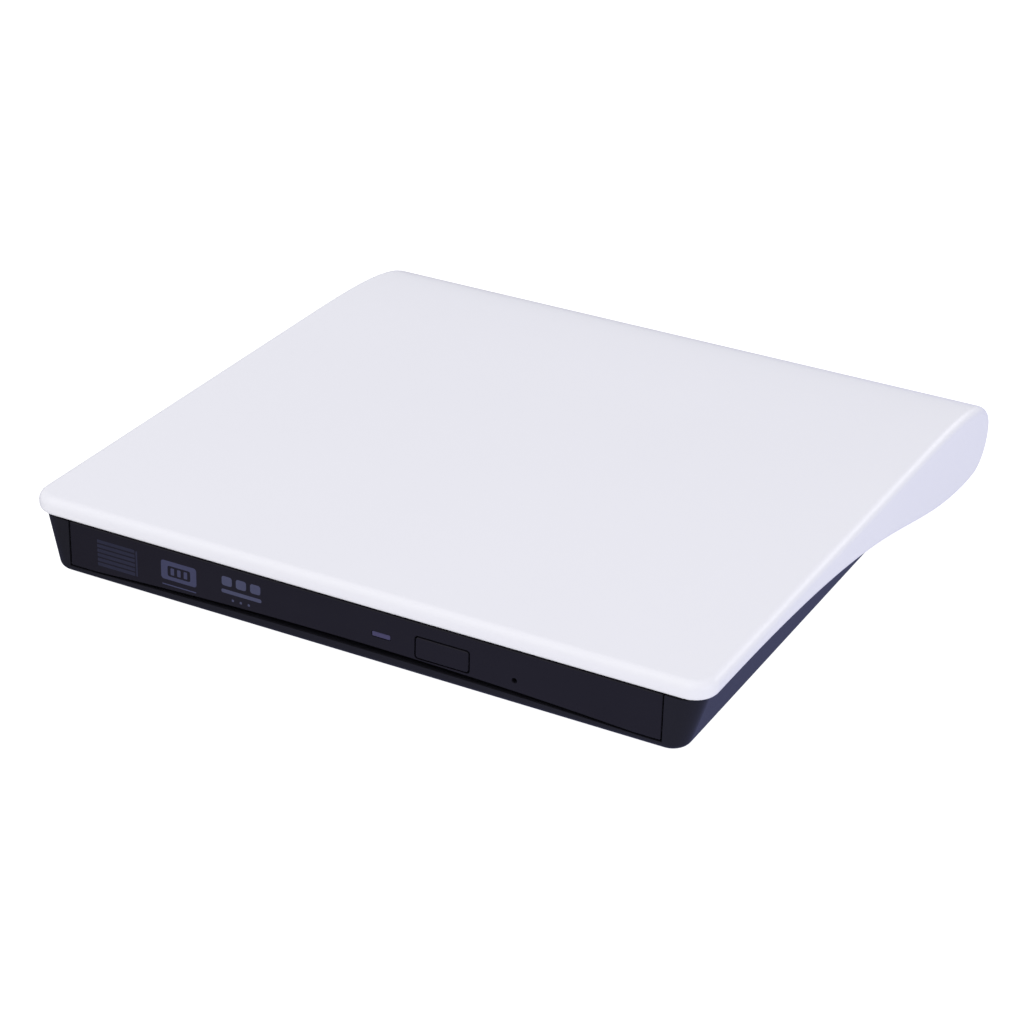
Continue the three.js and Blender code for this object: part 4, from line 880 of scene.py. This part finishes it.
def dress_node(name, slot, edge=0.08):
    """Keeps a CAD node's shape, rounds its edges a little and gives it its slot's material."""
    obj = frame["nodes"][name]
    obj.data.materials.clear()
    obj.data.materials.append(MATERIALS[slot])
    weld = obj.modifiers.new("weld", "WELD")
    weld.merge_threshold = 0.001 * MM
    if edge:
        soften = obj.modifiers.new("soften", "BEVEL")
        soften.width = edge * MM
        soften.segments = 2
        soften.limit_method = "ANGLE"
        soften.angle_limit = math.radians(40)
    normals = obj.modifiers.new("normals", "WEIGHTED_NORMAL")
    normals.keep_sharp = True


def dress_nodes():
    for subpart in frame["record"]["subparts"]:
        node = frame["nodes"][subpart["node"]]
        if not node.hide_render:
            dress_node(subpart["node"], subpart["material_slot"])


# ---- stage --------------------------------------------------------------------------------------


def flat_sheet(name, half_size, height=0.0):
    """A square sheet for the stage, in metres."""
    bm = bmesh.new()
    bmesh.ops.create_grid(bm, x_segments=1, y_segments=1, size=half_size)
    bmesh.ops.translate(bm, verts=bm.verts, vec=(0, 0, height))
    return to_object(name, bm)


def make_floor():
    floor = flat_sheet("floor", 3.0)
    paper = surface("paper_floor", (0.25, 0.25, 0.25), 0.9, specular=0.1, variation=0.01, patch=200)
    shader = paper.node_tree.nodes["Principled BSDF"]
    shader.inputs["Emission Color"].default_value = (1, 1, 1, 1)
    shader.inputs["Emission Strength"].default_value = 1.0
    floor.data.materials.append(paper)


def make_reflector():
    """A dim blue card over the floor, darker to the left, that only glossy surfaces see."""
    card = flat_sheet("reflector", 0.6, 0.0002)
    blue = surface("reflector_card", (0.02, 0.02, 0.03), 0.9, specular=0.0, variation=0.01, patch=200)
    nodes, links = blue.node_tree.nodes, blue.node_tree.links
    shader = nodes["Principled BSDF"]
    shader.inputs["Emission Color"].default_value = (0.46, 0.5, 1, 1)
    place = nodes.new("ShaderNodeTexCoord")
    parts = nodes.new("ShaderNodeSeparateXYZ")
    fade = nodes.new("ShaderNodeMapRange")
    fade.inputs["From Min"].default_value = -0.08
    fade.inputs["From Max"].default_value = 0.08
    fade.inputs["To Min"].default_value = 0.2
    fade.inputs["To Max"].default_value = 0.75
    links.new(place.outputs["Object"], parts.inputs["Vector"])
    links.new(parts.outputs["X"], fade.inputs["Value"])
    links.new(fade.outputs["Result"], shader.inputs["Emission Strength"])
    card.data.materials.append(blue)
    card.visible_camera = False
    card.visible_diffuse = False
    card.visible_shadow = False


def area_light(name, azimuth, elevation, distance, size, power, color):
    """A soft light aimed at the object. Azimuth 0 is in front of it, 90 at its right."""
    a, e = math.radians(azimuth), math.radians(elevation)
    back = Vector((math.sin(a) * math.cos(e), -math.cos(a) * math.cos(e), math.sin(e)))
    data = bpy.data.lights.new(name, "AREA")
    data.shape = "RECTANGLE"
    data.size, data.size_y = size
    data.energy = power
    data.color = color
    light = bpy.data.objects.new(name, data)
    turn = (-back).to_track_quat("-Z", "Y").to_matrix().to_4x4()
    light.matrix_world = Matrix.Translation(back * distance) @ turn
    bpy.context.scene.collection.objects.link(light)
    return light


def make_lighting():
    world = bpy.data.worlds.new("studio")
    world.use_nodes = True
    background = world.node_tree.nodes["Background"]
    background.inputs["Color"].default_value = (0.93, 0.94, 1.0, 1)
    background.inputs["Strength"].default_value = 0.9
    bpy.context.scene.world = world
    area_light(
        "key", azimuth=-15, elevation=62, distance=0.75, size=(1.0, 1.0),
        power=2.8, color=(1.0, 0.985, 0.92),
    )
    crest = area_light(
        "crest", azimuth=151, elevation=24, distance=1.0, size=(0.8, 0.25),
        power=1.7, color=(1.0, 0.99, 1.0),
    )
    crest.visible_diffuse = False
    area_light(
        "side", azimuth=75, elevation=12, distance=0.45, size=(0.25, 0.15),
        power=0.16, color=(0.72, 0.76, 1.0),
    )
    bpy.context.scene.view_settings.view_transform = "Standard"


make_cover()
make_base()
make_bezel()
make_button()
make_light_pipe()
make_marks()
make_screws()
make_socket()
make_tray()
make_spindle()
make_lens()
make_lead_screw()
dress_nodes()
make_floor()
make_reflector()
make_lighting()
